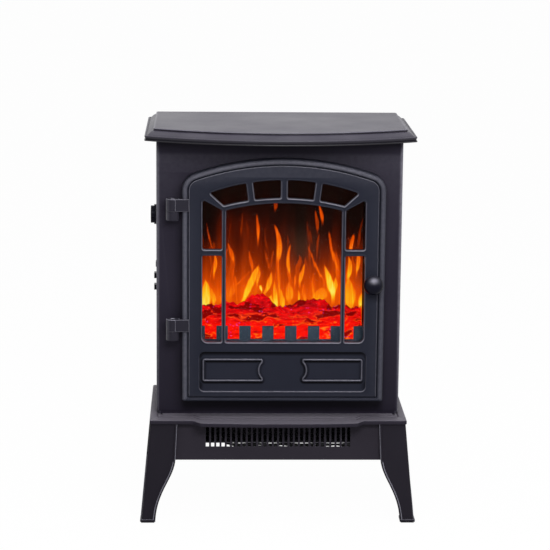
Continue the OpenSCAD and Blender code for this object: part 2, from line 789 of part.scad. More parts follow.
module door_frame() color(plastic_dark) difference() {
  union() {
    upright(web_face, web_t) door_area(0, 0, door_corner_r);
    upright(door_face, panel_out + eps) difference() {
      door_area(panel_in, bead_low + panel_low_gap, 9);
      translate([door_x, 0]) rounded_area(recess_half, recess_z0, recess_h, 7);
    }
    upright(bead_face, door_back - bead_face) difference() {
      door_area(0, 0, door_corner_r);
      door_area(bead_w, bead_low, door_corner_r - bead_w);
    }
    for (s = [0, 1])
      upright(door_face + 0.6, panel_out) translate([door_x, 0]) mirror([s, 0]) difference() {
        plaque_area(0);
        plaque_area(2.4);
      }
  }
  upright(door_face - 5, 20) windows();
  translate([door_x + knob_dx, web_back + 1, knob_z]) rotate([90, 0, 0]) cylinder(d = 5.2, h = 20);
  clip_places() rotate([90, 0, 0]) translate([0, 0, -1]) cylinder(d = 3, h = 4.5);
}

module door_glass() color([0.75, 0.8, 0.85, 0.4])
  upright(web_back, glass_t) translate([door_x, 0])
    polygon(arch_points(glass_half, glass_z0, glass_z1, door_arch_r, 8));

module clip_places() {
  for (s = [0, 1], z = [win_z0 + 22, win_z0 + 122, glass_z1 - 38.6])
    translate([door_x, web_back, z]) mirror([s, 0, 0]) translate([glass_half + 4, 0, 0]) children();
}

module glass_clips() color(zinc) clip_places() difference() {
  union() {
    box(-3.8, 4.5, 0, glass_t, -6, 6);
    box(-11, 4.5, glass_t, glass_t + 1, -6, 6);
  }
  rotate([-90, 0, 0]) translate([0, 0, -1]) cylinder(d = 3 + 2 * hole_gap, h = glass_t + 3);
}

module glass_clip_screws() color(zinc)
  clip_places() translate([0, glass_t + 1, 0]) rotate([-90, 0, 0]) screw(3, glass_t + 4, 6, 1.8);

module door_knob() color(plastic_dark)
  translate([door_x + knob_dx, door_face, knob_z]) rotate([90, 0, 0]) rotate_extrude($fn = 64)
    polygon(concat(
      [[0, -web_t - panel_out], [2.5, -web_t - panel_out], [2.5, 0], [6.5, 0], [5, 3], [5, 9],
        [knob_d / 2 - 2.5, 13], [knob_d / 2, 16]],
      [for (i = [1:10]) let (a = i * 9) [knob_d / 2 * cos(a), 16 + 13 * sin(a)]]
    ));

module strike_plate() color(zinc)
  box(magnet_x - bead_w / 2 + 0.3, magnet_x + bead_w / 2 - 0.3, door_back, door_back + 1,
    knob_z - 14, knob_z + 14);

module magnet_catch() color("#3a3a3c") {
  box(magnet_x - 3.6, magnet_x + 3.6, body_y0 - touch, body_y0 + 8, knob_z - 14, knob_z + 14);
  box(magnet_x - 8, magnet_x + 8, body_y0 + sheet, body_y0 + 8, knob_z - 20, knob_z + 20);
}

// ---------- hinges ----------

module hinge_arm(z) {
  difference() {
    union() {
      translate([hinge_x, hinge_y, z + hinge_h - arm_h]) cylinder(d = knuckle_d, h = arm_h);
      box(hinge_x, door_x - door_w / 2 + panel_in, bead_face - arm_t, bead_face,
        z + hinge_h - arm_h, z + hinge_h);
    }
    translate([hinge_x, hinge_y, z]) cylinder(d = pin_d + 2 * run, h = hinge_h + 1);
  }
}

module hinge_bracket(z) {
  lower_h = hinge_h - arm_h - touch;
  difference() {
    union() {
      translate([hinge_x, hinge_y, z]) cylinder(d = knuckle_d, h = lower_h);
      box(hinge_x - 6, hinge_x + 6, hinge_y, body_y0, z, z + lower_h);
    }
    translate([hinge_x, hinge_y, z + pin_z0]) cylinder(d = pin_d, h = hinge_h);
    translate([0, sheet, 0]) hinge_screw_places() panel_screw_hole(sheet + sheet + 8);
  }
}

module upper_hinge_arm() color(plastic_dark) hinge_arm(hinge_top_z);
module lower_hinge_arm() color(plastic_dark) hinge_arm(hinge_top_z - hinge_pitch);
module upper_hinge_bracket() color(plastic_dark) hinge_bracket(hinge_top_z);
module lower_hinge_bracket() color(plastic_dark) hinge_bracket(hinge_top_z - hinge_pitch);

module hinge_pins() color(zinc)
  for (z = [hinge_top_z, hinge_top_z - hinge_pitch])
    translate([hinge_x, hinge_y, z + pin_z0]) cylinder(d = pin_d, h = hinge_h - pin_z0 - 0.5);

// ---------- controls ----------

module dial_plate() color(plastic_dark)
  translate([side_x, ctrl_py, dial_z]) difference() {
    rod_x(-dial_t, 0, dial_d);
    rod_x(-dial_t - 1, 1, bush_d + 2 * hole_gap);
    rod_x(-dial_t - 1, -dial_t + 0.4, tknob_d + 1);
  }

module thermostat_knob() color(plastic_dark)
  translate([side_x - dial_t - touch, ctrl_py, dial_z]) difference() {
    union() {
      rod_x(-3, 0, tknob_d);
      rod_x(-tknob_h, -3 + eps, tknob_d - 4);
    }
    for (a = [0:30:330])
      rotate([a, 0, 0]) translate([0, 0, tknob_d / 2 - 0.6]) rod_x(-tknob_h - 1, -3.5, 4);
    rod_x(-tknob_h + 2, 1, shaft_d);
    box(-tknob_h - 1, -tknob_h + 0.6, -0.6, 0.6, 3, tknob_d / 2);
  }

module thermostat_shaft() color(zinc)
  translate([side_x, ctrl_py, dial_z]) rod_x(-dial_t - touch - tknob_h + 2, sheet + 12, shaft_d);

module thermostat() color("#6b5a45")
  translate([side_x, ctrl_py, dial_z]) difference() {
    union() {
      block_x(sheet, sheet + 20, 14, 14);
      rod_x(-dial_t, sheet + eps, bush_d);
      for (y = [-8, 8])
        translate([0, y, 0]) block_x(sheet + 20 - eps, sheet + 28, 0.4, 3);
    }
    rod_x(-dial_t - 1, sheet + 12 + touch, shaft_d + 2 * run);
  }

module at_button(i) {
  translate([side_x, ctrl_py, button_z - i * button_pitch]) children();
}

module button_frames() color(plastic_dark)
  for (i = [0:2]) at_button(i) difference() {
    union() {
      block_x(-frame_t, 0, button_l / 2 + frame_rim + 1.6, button_h / 2 + frame_rim + 1.2);
      block_x(-eps, 9, button_l / 2 + frame_rim - hole_gap, button_h / 2 + frame_rim - hole_gap);
    }
    block_x(-frame_t - 1, 10, button_l / 2 + slide_gap, button_h / 2 + slide_gap);
  }

module switch_blocks() color("#d8d4c8")
  for (i = [0:2]) at_button(i) difference() {
    union() {
      block_x(9, 24, button_l / 2 + frame_rim - hole_gap, button_h / 2 + frame_rim - hole_gap);
      for (y = [-4, 4])
        translate([0, y, 0]) block_x(24 - eps, 31, 0.4, 2.4);
    }
    block_x(8, 9 + button_travel + 1.2, 3 + slide_gap, 2 + slide_gap);
  }

// A cap with a stem that reaches into its switch block; pushed is how far it is in at rest
module button(i, pushed) {
  at_button(i) translate([pushed, 0, 0]) {
    block_x(-button_out, 4.5, button_l / 2, button_h / 2);
    block_x(4.5 - eps, 9 + 0.8, 3, 2);
  }
}

module flame_button() color(plastic_dark) button(0, button_travel);
module low_heat_button() color(plastic_dark) button(1, 0);
module high_heat_button() color(plastic_dark) button(2, 0);

// ---------- firebox ----------

module firebox_wall() {
  box(fire_half, fire_half + wall_t, fire_front, chamber_y1, fire_z0, fire_z1);
  box(fire_half + wall_t - eps, fire_half + 12, fire_front, fire_front + wall_t, fire_z0, fire_z1);
}

module firebox_left_wall() color("#1c1b1f") difference() {
  mirror([1, 0, 0]) firebox_wall();
  translate([0, rotor_py, rotor_pz]) rod_x(-fire_half - 3, -fire_half + 1, 10 + 2 * hole_gap);
}

module firebox_right_wall() color("#1c1b1f") difference() {
  firebox_wall();
  translate([0, rotor_py, rotor_pz]) rod_x(fire_half - 1, fire_half + 3, 10);
}

module firebox_back() color("#1c1b1f")
  box(-fire_half - wall_t, fire_half + wall_t, chamber_y1, chamber_y1 + wall_t, fire_z0 - wall_t,
    fire_z1 + wall_t);

module firebox_ceiling() color("#1c1b1f")
  box(-fire_half - wall_t, fire_half + wall_t, fire_front, chamber_y1, fire_z1, fire_z1 + wall_t);

module firebox_floor() color("#1c1b1f")
  box(-fire_half - 12, fire_half + 12, fire_front, chamber_y1, fire_z0 - wall_t, fire_z0);

module flame_screen() color([0.9, 0.9, 0.9, 0.6])
  box(-fire_half + touch, fire_half - touch, screen_py, screen_py + screen_t, fire_z0, fire_z1);

module fire_grate() color("#55636f") {
  half = fire_half - 1;
  box(-half, half, grate_y, grate_y + grate_t, fire_z0, fire_z0 + grate_bar_h);
  for (i = [0:tooth_n - 1])
    let (x = tooth_x + (i - (tooth_n - 1) / 2) * tooth_pitch)
      box(max(x - tooth_w / 2, -half), min(x + tooth_w / 2, half), grate_y, grate_y + grate_t,
        fire_z0, fire_z0 + tooth_h);
}

// Side outline of the ember bed, which rises towards the flame screen
module ember_profile(inset, z0) {
  y0 = ember_y0 + inset;
  y1 = screen_py - touch - inset;
  knee_y = (ember_y0 + screen_py) / 2 - 2 + inset;
  polygon([[y0, z0], [y1, z0], [y1, fire_z0 + ember_h - 14 - inset], [knee_y, fire_z0 + 24 - inset],
    [y0, fire_z0 + 10 - inset]]);
}

module ember_log(x, l, d, turn, share) {
  translate([x, ember_y0 + (screen_py - ember_y0) * share, fire_z0 + 6 + (ember_h - 18) * share])
    rotate([0, 0, turn]) rod_x(-l / 2, l / 2, d);
}

module ember_bed() color("orangered") difference() {
  union() {
    sideways(-fire_half + 2, 2 * fire_half - 4) ember_profile(0, fire_z0);
    intersection() {
      union() for (l = logs) ember_log(l[0], l[1], l[2], l[3], l[4]);
      box(-fire_half + 2, fire_half - 2, ember_y0, screen_py - touch, fire_z0, fire_z1);
    }
  }
  sideways(-fire_half + 5, 2 * fire_half - 10) ember_profile(3, fire_z0 - 1);
}

module led_board(y0, w, n) {
  box(-fire_half + 20, fire_half - 20, y0, y0 + w, fire_z0, fire_z0 + 1.6);
  for (i = [0:n - 1])
    translate([(i - (n - 1) / 2) * (2 * fire_half - 60) / (n - 1), y0 + w / 2, fire_z0 + 1.6 - eps])
      cylinder(d = 5, h = 2.5);
}

module led_boards() color("#e8e8e0") {
  bed_d = screen_py - ember_y0;
  led_board(ember_y0 + bed_d / 3, bed_d / 4, 10);
  led_board(screen_py + screen_t + 6, 12, 10);
}

// ---------- flame rotor ----------

module flame_rotor() color("silver") translate([0, rotor_py, rotor_pz]) {
  rod_x(-fire_half - wall_t - 4, fire_half + wall_t + 8, 4);
  for (i = [0:6]) {
    x = (i - 3) * 32;
    rod_x(x - 4, x + 4, 8);
    for (k = [0:2])
      rotate([k * 120 + i * 25, 0, 0])
        upright(-0.3, 0.6) polygon([[x - 12, 0], [x + 12, 0], [x + 14, rotor_r * 0.6], [x + 4, rotor_r],
          [x - 9, rotor_r * 0.85], [x - 14, rotor_r * 0.45]]);
  }
}

module rotor_bearing() color("#e0dcd0") translate([0, rotor_py, rotor_pz]) difference() {
  union() {
    rod_x(-fire_half - wall_t - 4, -fire_half, 10);
    rod_x(-fire_half - wall_t - 5, -fire_half - wall_t, 15);
  }
  rod_x(-fire_half - wall_t - 6, -fire_half + 1, 4 + 2 * run);
}

module rotor_motor() color(zinc) translate([0, rotor_py, rotor_pz]) difference() {
  union() {
    rod_x(fire_half + wall_t, fire_half + wall_t + 15, 42);
    for (s = [-1, 1])
      box(fire_half + wall_t, fire_half + wall_t + 1.2, s * 26 - 6, s * 26 + 6, -5, 5);
  }
  rod_x(fire_half, fire_half + wall_t + 9, 4 + 2 * run);
}

// ---------- heater ----------

// Side outline of the heater housing: an upper box with a duct to the grille
module heater_profile(inset) {
  y0 = duct_y0 + (inset > 0 ? -1 : 0);
  polygon([[y0, heater_z0 + inset], [heater_y1 - inset, heater_z0 + inset],
    [heater_y1 - inset, heater_z1 - inset], [heater_y0 + inset, heater_z1 - inset],
    [heater_y0 + inset, duct_z1 - inset], [y0, duct_z1 - inset]]);
}

module heater_housing() color(zinc) difference() {
  union() {
    sideways(-heater_half, 2 * heater_half) heater_profile(0);
    box(-heater_half - 8, heater_half + 8, heater_y0, heater_y1, hearth_z + sheet, hearth_z + sheet + wall_t);
  }
  sideways(-heater_half + wall_t, 2 * (heater_half - wall_t)) heater_profile(wall_t);
  for (i = [0:8])
    box(-76 + i * 18, -66 + i * 18, heater_y1 - 3, heater_y1 + 1, heater_z1 - 60, heater_z1 - 16);
  translate([0, wheel_y, wheel_z]) rod_x(-heater_half - 1, -heater_half + 3, 12 + 2 * hole_gap);
}

module heating_element() color("#8a6a4a") {
  y0 = duct_y0 + 16;
  z0 = heater_z0 + wall_t;
  z1 = duct_z1 - wall_t;
  for (x = [-heater_half + wall_t, heater_half - wall_t - 4])
    box(x, x + 4, y0, y0 + 14, z0, z1);
  for (k = [0:3])
    translate([0, y0 + 7, z0 + (z1 - z0) * (k + 0.5) / 4])
      rod_x(-heater_half + wall_t + 3, heater_half - wall_t - 3, 3);
  for (i = [1:17])
    box(-heater_half + i * 12.4 - 0.5, -heater_half + i * 12.4 + 0.5, y0 + 2, y0 + 12, z0 + 1.5, z1 - 1.5);
}

module thermal_cutout() color("#d9c9a0")
  translate([40, duct_y0 + 40, heater_z0 + wall_t]) {
    cylinder(d = 14, h = 7);
    box(-12, 12, -4, 4, 0, 1);
  }

module blower_wheel() color("silver") translate([0, wheel_y, wheel_z]) {
  rod_x(-heater_half - 2, wheel_x0 + wheel_l + 16, blower_shaft_d);
  for (x = [wheel_x0, wheel_x0 + wheel_l / 2 - 1, wheel_x0 + wheel_l - 2])
    rod_x(x, x + 2, wheel_d);
  for (i = [0:vane_n - 1])
    rotate([i * 360 / vane_n, 0, 0])
      translate([0, 0, wheel_d / 2 - 3]) rotate([35, 0, 0])
        box(wheel_x0, wheel_x0 + wheel_l, -0.5, 0.5, -3, 2);
}

module blower_bearing() color("#e0dcd0") translate([0, wheel_y, wheel_z]) difference() {
  union() {
    rod_x(-heater_half - 3, -heater_half + 5, 12);
    rod_x(-heater_half + wall_t, -heater_half + 6, 18);
  }
  rod_x(-heater_half - 4, -heater_half + 7, blower_shaft_d + 2 * run);
}

module blower_motor() color(zinc) translate([0, wheel_y, wheel_z]) difference() {
  union() {
    rod_x(wheel_x0 + wheel_l + 4, heater_half - wall_t, 38);
    box(wheel_x0 + wheel_l + 8, heater_half - wall_t, -24, 24, -6, 6);
  }
  rod_x(wheel_x0 + wheel_l + 3, wheel_x0 + wheel_l + 18, blower_shaft_d + 2 * run);
}

top_plate();
top_deck();
top_screws();
front_panel();
left_side_panel();
right_side_panel();
back_panel();
panel_screws();
base_tray();
hearth();
front_apron();
left_apron();
right_apron();
rear_apron();
leg_front_left();
leg_front_right();
leg_rear_left();
leg_rear_right();
foot_pads();
leg_screws();
door_frame();
door_glass();
glass_clips();
glass_clip_screws();
door_knob();
strike_plate();
magnet_catch();
upper_hinge_arm();
lower_hinge_arm();
upper_hinge_bracket();
lower_hinge_bracket();
hinge_pins();
dial_plate();
thermostat_knob();
thermostat_shaft();
thermostat();
button_frames();
switch_blocks();
flame_button();
low_heat_button();
high_heat_button();
firebox_left_wall();
firebox_right_wall();
firebox_back();
firebox_ceiling();
firebox_floor();
flame_screen();
fire_grate();
ember_bed();
led_boards();
flame_rotor();
rotor_motor();
rotor_bearing();
heater_housing();
heating_element();
blower_wheel();
blower_motor();
blower_bearing();
thermal_cutout();
cord_inlet();
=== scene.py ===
"""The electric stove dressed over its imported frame: paint, glass, flames, embers and a studio."""

import math
import random

import bmesh
import bpy
import numpy as np
from mathutils import Euler, Matrix, Vector, noise
from mathutils.geometry import tessellate_polygon


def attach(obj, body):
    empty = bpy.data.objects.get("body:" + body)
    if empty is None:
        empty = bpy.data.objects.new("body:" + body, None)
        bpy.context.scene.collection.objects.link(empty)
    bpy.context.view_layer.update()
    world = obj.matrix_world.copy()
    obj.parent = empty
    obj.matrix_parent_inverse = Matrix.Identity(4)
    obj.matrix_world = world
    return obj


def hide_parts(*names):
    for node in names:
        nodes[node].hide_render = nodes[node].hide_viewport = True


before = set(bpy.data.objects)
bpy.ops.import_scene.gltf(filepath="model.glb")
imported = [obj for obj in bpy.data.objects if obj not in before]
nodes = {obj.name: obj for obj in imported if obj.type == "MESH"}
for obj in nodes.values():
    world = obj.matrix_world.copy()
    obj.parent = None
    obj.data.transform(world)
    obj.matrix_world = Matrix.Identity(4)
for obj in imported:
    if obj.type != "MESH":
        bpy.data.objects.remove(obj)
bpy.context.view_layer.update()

MM = 0.001
JOIN_WITHIN = 0.00001
SMOOTH_BELOW = 32
BEVEL_ABOVE = 35


def linked(name, data):
    """A new object that holds the data, put in the scene."""
    obj = bpy.data.objects.new(name, data)
    bpy.context.scene.collection.objects.link(obj)
    return obj


# ---------- camera: its place in metres, and its turns in degrees ----------

CAMERA_AT = (-0.1057, -3.1514, 0.9871)
CAMERA_PITCH = 11.31
CAMERA_YAW = 1.84
CAMERA_ROLL = 0.53


def set_camera():
    lens = bpy.data.cameras.new("stove camera")
    lens.lens = 140.9
    lens.sensor_width = 36.0
    lens.clip_end = 60.0
    camera = linked("stove camera", lens)
    pitch, yaw, roll = (math.radians(turn) for turn in (CAMERA_PITCH, CAMERA_YAW, CAMERA_ROLL))
    facing = Euler((math.pi / 2 - pitch, 0, -yaw)).to_matrix().to_4x4() @ Matrix.Rotation(roll, 4, "Z")
    camera.matrix_world = Matrix.Translation(CAMERA_AT) @ facing
    bpy.context.scene.camera = camera


set_camera()


# ---------- outlines: lists of points in millimetres ----------

MITRE_LIMIT = 0.35


def arc(cx, cy, r, a0, a1, n):
    """Points on a circle from one angle to another, in degrees."""
    steps = [math.radians(a0 + (a1 - a0) * i / n) for i in range(n + 1)]
    return [(cx + r * math.cos(a), cy + r * math.sin(a)) for a in steps]


def arc_drop(r, x):
    """How far a circle has fallen from its crown at a distance x to the side."""
    return r - math.sqrt(r * r - x * x)


def bezier(p0, p1, p2, p3, n):
    """A cubic curve's points, both ends included."""
    out = []
    for i in range(n + 1):
        t = i / n
        u = 1 - t
        weights = (u * u * u, 3 * u * u * t, 3 * u * t * t, t * t * t)
        out.append(tuple(sum(w * p[k] for w, p in zip(weights, (p0, p1, p2, p3))) for k in (0, 1)))
    return out


def rounded(points, radii, n=6):
    """Rounds the corners of a closed outline: radii gives one radius for each point, 0 to keep it."""
    out = []
    count = len(points)
    for i, (p, r) in enumerate(zip(points, radii)):
        if r == 0:
            out.append(p)
            continue
        here = Vector(p)
        back = Vector(points[i - 1]) - here
        ahead = Vector(points[(i + 1) % count]) - here
        half = back.angle(ahead) / 2
        reach = r / math.tan(half)
        bisector = (back.normalized() + ahead.normalized()).normalized()
        centre = here + bisector * (r / math.sin(half))
        start = here + back.normalized() * reach - centre
        end = here + ahead.normalized() * reach - centre
        sweep = start.angle_signed(end)
        for k in range(n + 1):
            out.append(tuple(centre + Matrix.Rotation(-sweep * k / n, 2) @ start))
    return out


def corners(x0, x1, y0, y1):
    """A rectangle, from its lower left corner round."""
    return [(x0, y0), (x1, y0), (x1, y1), (x0, y1)]


def flipped(points):
    """The points on the other side of the middle, in reverse, so that they carry on an outline."""
    return [(-x, y) for x, y in reversed(points)]


def signed_area(loop):
    return sum(a[0] * b[1] - b[0] * a[1] for a, b in zip(loop, loop[1:] + loop[:1])) / 2


def grown(loop, distance):
    """The outline moved outwards by a distance, or inwards where it is negative."""
    if distance == 0:
        return list(loop)
    side = 1 if signed_area(loop) > 0 else -1
    out = []
    count = len(loop)
    for i, p in enumerate(loop):
        before = (Vector(p) - Vector(loop[i - 1])).normalized()
        after = (Vector(loop[(i + 1) % count]) - Vector(p)).normalized()
        n0 = Vector((before.y, -before.x)) * side
        n1 = Vector((after.y, -after.x)) * side
        middle = (n0 + n1).normalized()
        out.append(tuple(Vector(p) + middle * (distance / max(middle.dot(n0), MITRE_LIMIT))))
    return out


def arched(half, z0, z1, r, corner, foot):
    """Upright sides, an arched top with round corners and a foot with small round corners."""
    kx = half - corner
    cz = z1 - r
    kz = cz + math.sqrt((r - corner) ** 2 - kx * kx)
    turn = math.degrees(math.atan2(kz - cz, kx))
    right = arc(kx, kz, corner, 0, turn, 10)
    crown = arc(0, cz, r, turn, 180 - turn, 48)[1:-1]
    feet = arc(half - foot, z0 + foot, foot, 270, 360, 6)
    return flipped(feet)[1:] + feet[:-1] + right + crown + flipped(right)


# ---------- building a piece ----------


def point_values(mesh, label, values):
    """Stores one value for each point of a mesh."""
    mesh.attributes.new(label, "FLOAT", "POINT").data.foreach_set("value", values)


class Skin:
    """The rings and faces of one piece, in millimetres."""

    def __init__(self):
        self.points = []
        self.faces = []
        self.wear_and_painted_light = []

    def ring(self, points, wear_and_painted_light=0.0):
        start = len(self.points)
        self.points.extend(points)
        self.wear_and_painted_light.extend(wear_and_painted_light if isinstance(wear_and_painted_light, list) else [wear_and_painted_light] * len(points))
        return list(range(start, start + len(points)))

    def join(self, a, b, closed=True):
        count = len(a)
        for i in range(count if closed else count - 1):
            k = (i + 1) % count
            self.faces.append((a[i], a[k], b[k], b[i]))

    def loft(self, rings, closed=True, wear_and_painted_light=None):
        """Skins over rings of equal length. The last argument gives each ring, or each of its points, its
        painted light: above 0 a painted highlight, partly rubbing of raised edges, below 0 painted shade.
        """
        made = [self.ring(r, w) for r, w in zip(rings, wear_and_painted_light or [0.0] * len(rings))]
        for a, b in zip(made, made[1:]):
            self.join(a, b, closed)
        return made

    def fill(self, *rings):
        """Closes a flat face with the first ring as its edge and the others as holes."""
        flat = [i for r in rings for i in r]
        loops = [[Vector(self.points[i]) for i in r] for r in rings]
        for tri in tessellate_polygon(loops):
            self.faces.append(tuple(flat[i] for i in tri))

    def bar(self, rings, wear_and_painted_light=None):
        """Skins over rings and closes both ends."""
        made = self.loft(rings, wear_and_painted_light=wear_and_painted_light)
        self.fill(made[0])
        self.fill(made[-1])

    def block(self, x0, x1, y0, y1, z0, z1, soft, wear_and_painted_light=0.0):
        """A block with edges rounded over by soft; its last number is the painted highlight, partly rubbing,
        on its upper edges.
        """
        ring = rounded(corners(x0, x1, y0, y1), [soft * 1.4] * 4, 4)
        near = soft * 0.3
        steps = [(-soft, z0), (-near, z0 + near), (0, z0 + soft)]
        steps += [(0, z1 - soft), (-near, z1 - near), (-soft, z1)]
        rings = [flat_xy(grown(ring, out), z) for out, z in steps]
        self.bar(rings, [0.0, 0.0, 0.0, 0.1 * wear_and_painted_light, wear_and_painted_light, 0.2 * wear_and_painted_light])

    def mirrored(self, axis, middle=0.0):
        """The same piece on the other side of a plane across an axis."""
        out = Skin()
        for p in self.points:
            q = list(p)
            q[axis] = 2 * middle - q[axis]
            out.points.append(tuple(q))
        out.faces = [tuple(reversed(f)) for f in self.faces]
        out.wear_and_painted_light = list(self.wear_and_painted_light)
        return out

    def mesh(self, name):
        mesh = bpy.data.meshes.new(name)
        mesh.from_pydata([[v * MM for v in p] for p in self.points], [], self.faces)
        return mesh

    def piece(self, name, material, slot, body="cabinet", stands_for=None, sharp=SMOOTH_BELOW):
        """The finished piece: joined points, faces that look outwards, and edges sharp above an angle."""
        mesh = self.mesh(name)
        point_values(mesh, "wear_and_painted_light", self.wear_and_painted_light)
        shape = bmesh.new()
        shape.from_mesh(mesh)
        bmesh.ops.remove_doubles(shape, verts=shape.verts, dist=JOIN_WITHIN)
        bmesh.ops.recalc_face_normals(shape, faces=shape.faces)
        for edge in shape.edges:
            edge.smooth = edge.calc_face_angle(math.pi) < math.radians(sharp)
        for face in shape.faces:
            face.smooth = True
        shape.to_mesh(mesh)
        shape.free()
        obj = linked(name, mesh)
        obj.data.materials.append(material)
        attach(obj, body)
        if stands_for:
            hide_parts(*stands_for)
        return obj


def flat_xz(loop, y, dx=0.0):
    return [(x + dx, y, z) for x, z in loop]


def flat_xy(loop, z):
    return [(x, y, z) for x, y in loop]


# ---------- shader helpers ----------


def srgb(r, g, b):
    """A colour as it shows on a screen, 0 to 255, in the renderer's linear values."""
    out = []
    for v in (r, g, b):
        v = v / 255
        out.append(v / 12.92 if v <= 0.04045 else ((v + 0.055) / 1.055) ** 2.4)
    return (*out, 1.0)


def place(tree, kind, inputs=None, **settings):
    """Adds a node: its settings first, then its inputs, each linked or set to a plain value."""
    node = tree.nodes.new(kind)
    for key, value in settings.items():
        setattr(node, key, value)
    for key, value in (inputs or {}).items():
        if isinstance(value, bpy.types.NodeSocket):
            tree.links.new(value, node.inputs[key])
        else:
            node.inputs[key].default_value = value
    return node


def sums(tree, operation, a, b=0.0, c=0.0):
    return place(tree, "ShaderNodeMath", {0: a, 1: b, 2: c}, operation=operation).outputs[0]


def product(tree, a, b):
    return sums(tree, "MULTIPLY", a, b)


def blended(tree, amount, a, b):
    return place(tree, "ShaderNodeMix", {0: amount, 6: a, 7: b}, data_type="RGBA").outputs[2]


def ranged(tree, value, low, high, to_low=0.0, to_high=1.0):
    inputs = {"Value": value, "From Min": low, "From Max": high, "To Min": to_low, "To Max": to_high}
    return place(tree, "ShaderNodeMapRange", inputs).outputs[0]


def ramp(tree, value, stops):
    """Colours along a value: stops give (position, screen colour)."""
    node = place(tree, "ShaderNodeValToRGB", {0: value})
    bar = node.color_ramp
    while len(bar.elements) < len(stops):
        bar.elements.new(0.5)
    for element, (position, colour) in zip(bar.elements, stops):
        element.position = position
        element.color = srgb(*colour)
    return node.outputs[0]


def clouds(tree, where, scale, detail, roughness=0.5):
    """Soft noise over a place: its strength comes first, and it has a "Color"."""
    inputs = {"Vector": where, "Scale": scale, "Detail": detail, "Roughness": roughness}
    return place(tree, "ShaderNodeTexNoise", inputs).outputs


def cells(tree, where, scale):
    return place(tree, "ShaderNodeTexVoronoi", {"Vector": where, "Scale": scale}).outputs


def red_share(tree, colour):
    return place(tree, "ShaderNodeSeparateColor", {0: colour}).outputs[0]


def stretched(tree, where, factors):
    """A place scaled by a factor of its own on each axis."""
    return place(tree, "ShaderNodeVectorMath", {0: where, 1: factors}, operation="MULTIPLY").outputs[0]


def stored(tree, label):
    """A value that the mesh's points carry."""
    return place(tree, "ShaderNodeAttribute", attribute_name=label).outputs["Fac"]


def relief(tree, height, strength, distance):
    inputs = {"Height": height, "Strength": strength, "Distance": distance}
    return place(tree, "ShaderNodeBump", inputs).outputs[0]


def node_group(name, numbers, results):
    """A shader group that follows a place: numbers are its other inputs, results its outputs."""
    tree = bpy.data.node_groups.new(name, "ShaderNodeTree")
    tree.interface.new_socket("Place", in_out="INPUT", socket_type="NodeSocketVector")
    for label, default in numbers.items():
        socket = tree.interface.new_socket(label, in_out="INPUT", socket_type="NodeSocketFloat")
        socket.default_value = default
    for label in results:
        tree.interface.new_socket(label, in_out="OUTPUT", socket_type="NodeSocketFloat")
    return tree, tree.nodes.new("NodeGroupInput").outputs


def use_group(tree, group, **inputs):
    """A group's outputs: its inputs are named here in lower case."""
    named = {key.capitalize(): value for key, value in inputs.items()}
    return place(tree, "ShaderNodeGroup", named, node_tree=group).outputs


def powder_coat_group():
    """Fine stipple of a baked satin coat, with slow drifts of gloss and tone."""
    tree, source = node_group("powder coat", {"Grain": 1400.0, "Drift": 9.0}, ["Height", "Tone", "Gloss"])
    fine = clouds(tree, source["Place"], source["Grain"], 2.0)[0]
    broad = clouds(tree, source["Place"], source["Drift"], 4.0)[0]
    soft = clouds(tree, source["Place"], product(tree, source["Grain"], 0.22), 1.0)[0]
    mixed = sums(tree, "ADD", broad, product(tree, fine, 0.5))
    results = {
        "Height": sums(tree, "MULTIPLY_ADD", soft, 0.6, fine),
        "Tone": ranged(tree, broad, 0.3, 0.7),
        "Gloss": ranged(tree, mixed, 0.55, 1.0),
    }
    place(tree, "NodeGroupOutput", results)
    return tree


def dust_and_top_light_group():
    """Dust on faces that look up, in soft patches, which also stands as painted top light; Even spreads it
    over them evenly.
    """
    tree, source = node_group("settled dust", {"Patch": 24.0, "Even": 0.0}, ["Mask"])
    normal = tree.nodes.new("ShaderNodeNewGeometry").outputs["Normal"]
    up = place(tree, "ShaderNodeSeparateXYZ", {0: normal}).outputs[2]
    patches = ranged(tree, clouds(tree, source["Place"], source["Patch"], 5.0)[0], 0.35, 0.75)
    cover = sums(tree, "MAXIMUM", patches, source["Even"])
    place(tree, "NodeGroupOutput", {"Mask": product(tree, ranged(tree, up, 0.55, 1.0), cover)})
    return tree


def rolled_steel_group():
    """Zinc spangle and rolling lines of bare sheet."""
    tree, source = node_group("rolled steel", {"Spangle": 160.0}, ["Tone", "Height"])
    tone = red_share(tree, cells(tree, source["Place"], source["Spangle"])["Color"])
    lines = clouds(tree, stretched(tree, source["Place"], (30.0, 30.0, 900.0)), 1.0, 3.0)[0]
    place(tree, "NodeGroupOutput", {"Tone": tone, "Height": lines})
    return tree


def edge_wear_and_light_group():
    """Painted highlight, partly rubbing, on raised edges where the points' value is above 0, and painted
    shade in creases and under parts where it is below 0.
    """
    tree, source = node_group("rubbed edge", {"Breakup": 180.0}, ["Mask", "Painted shade"])
    wear_and_painted_light = stored(tree, "wear_and_painted_light")
    uneven = ranged(tree, clouds(tree, source["Place"], source["Breakup"], 3.0)[0], 0.3, 0.62, 0.7, 1.0)
    mask = ranged(tree, product(tree, wear_and_painted_light, uneven), 0.0, 1.0)
    place(tree, "NodeGroupOutput", {"Mask": mask, "Painted shade": ranged(tree, wear_and_painted_light, 0.0, -1.0)})
    return tree


POWDER_COAT = powder_coat_group()
EDGE_WEAR_AND_LIGHT_GROUP = edge_wear_and_light_group()
DUST_AND_TOP_LIGHT_GROUP = dust_and_top_light_group()
ROLLED_STEEL = rolled_steel_group()


def empty_tree(holder):
    """The node tree of a material or a world, cleared."""
    holder.use_nodes = True
    holder.node_tree.nodes.clear()
    return holder.node_tree


def new_material(name):
    """A material without nodes, its tree, and the place on the object that patterns follow."""
    material = bpy.data.materials.new(name)
    tree = empty_tree(material)
    return material, tree, place(tree, "ShaderNodeTexCoord").outputs["Object"]


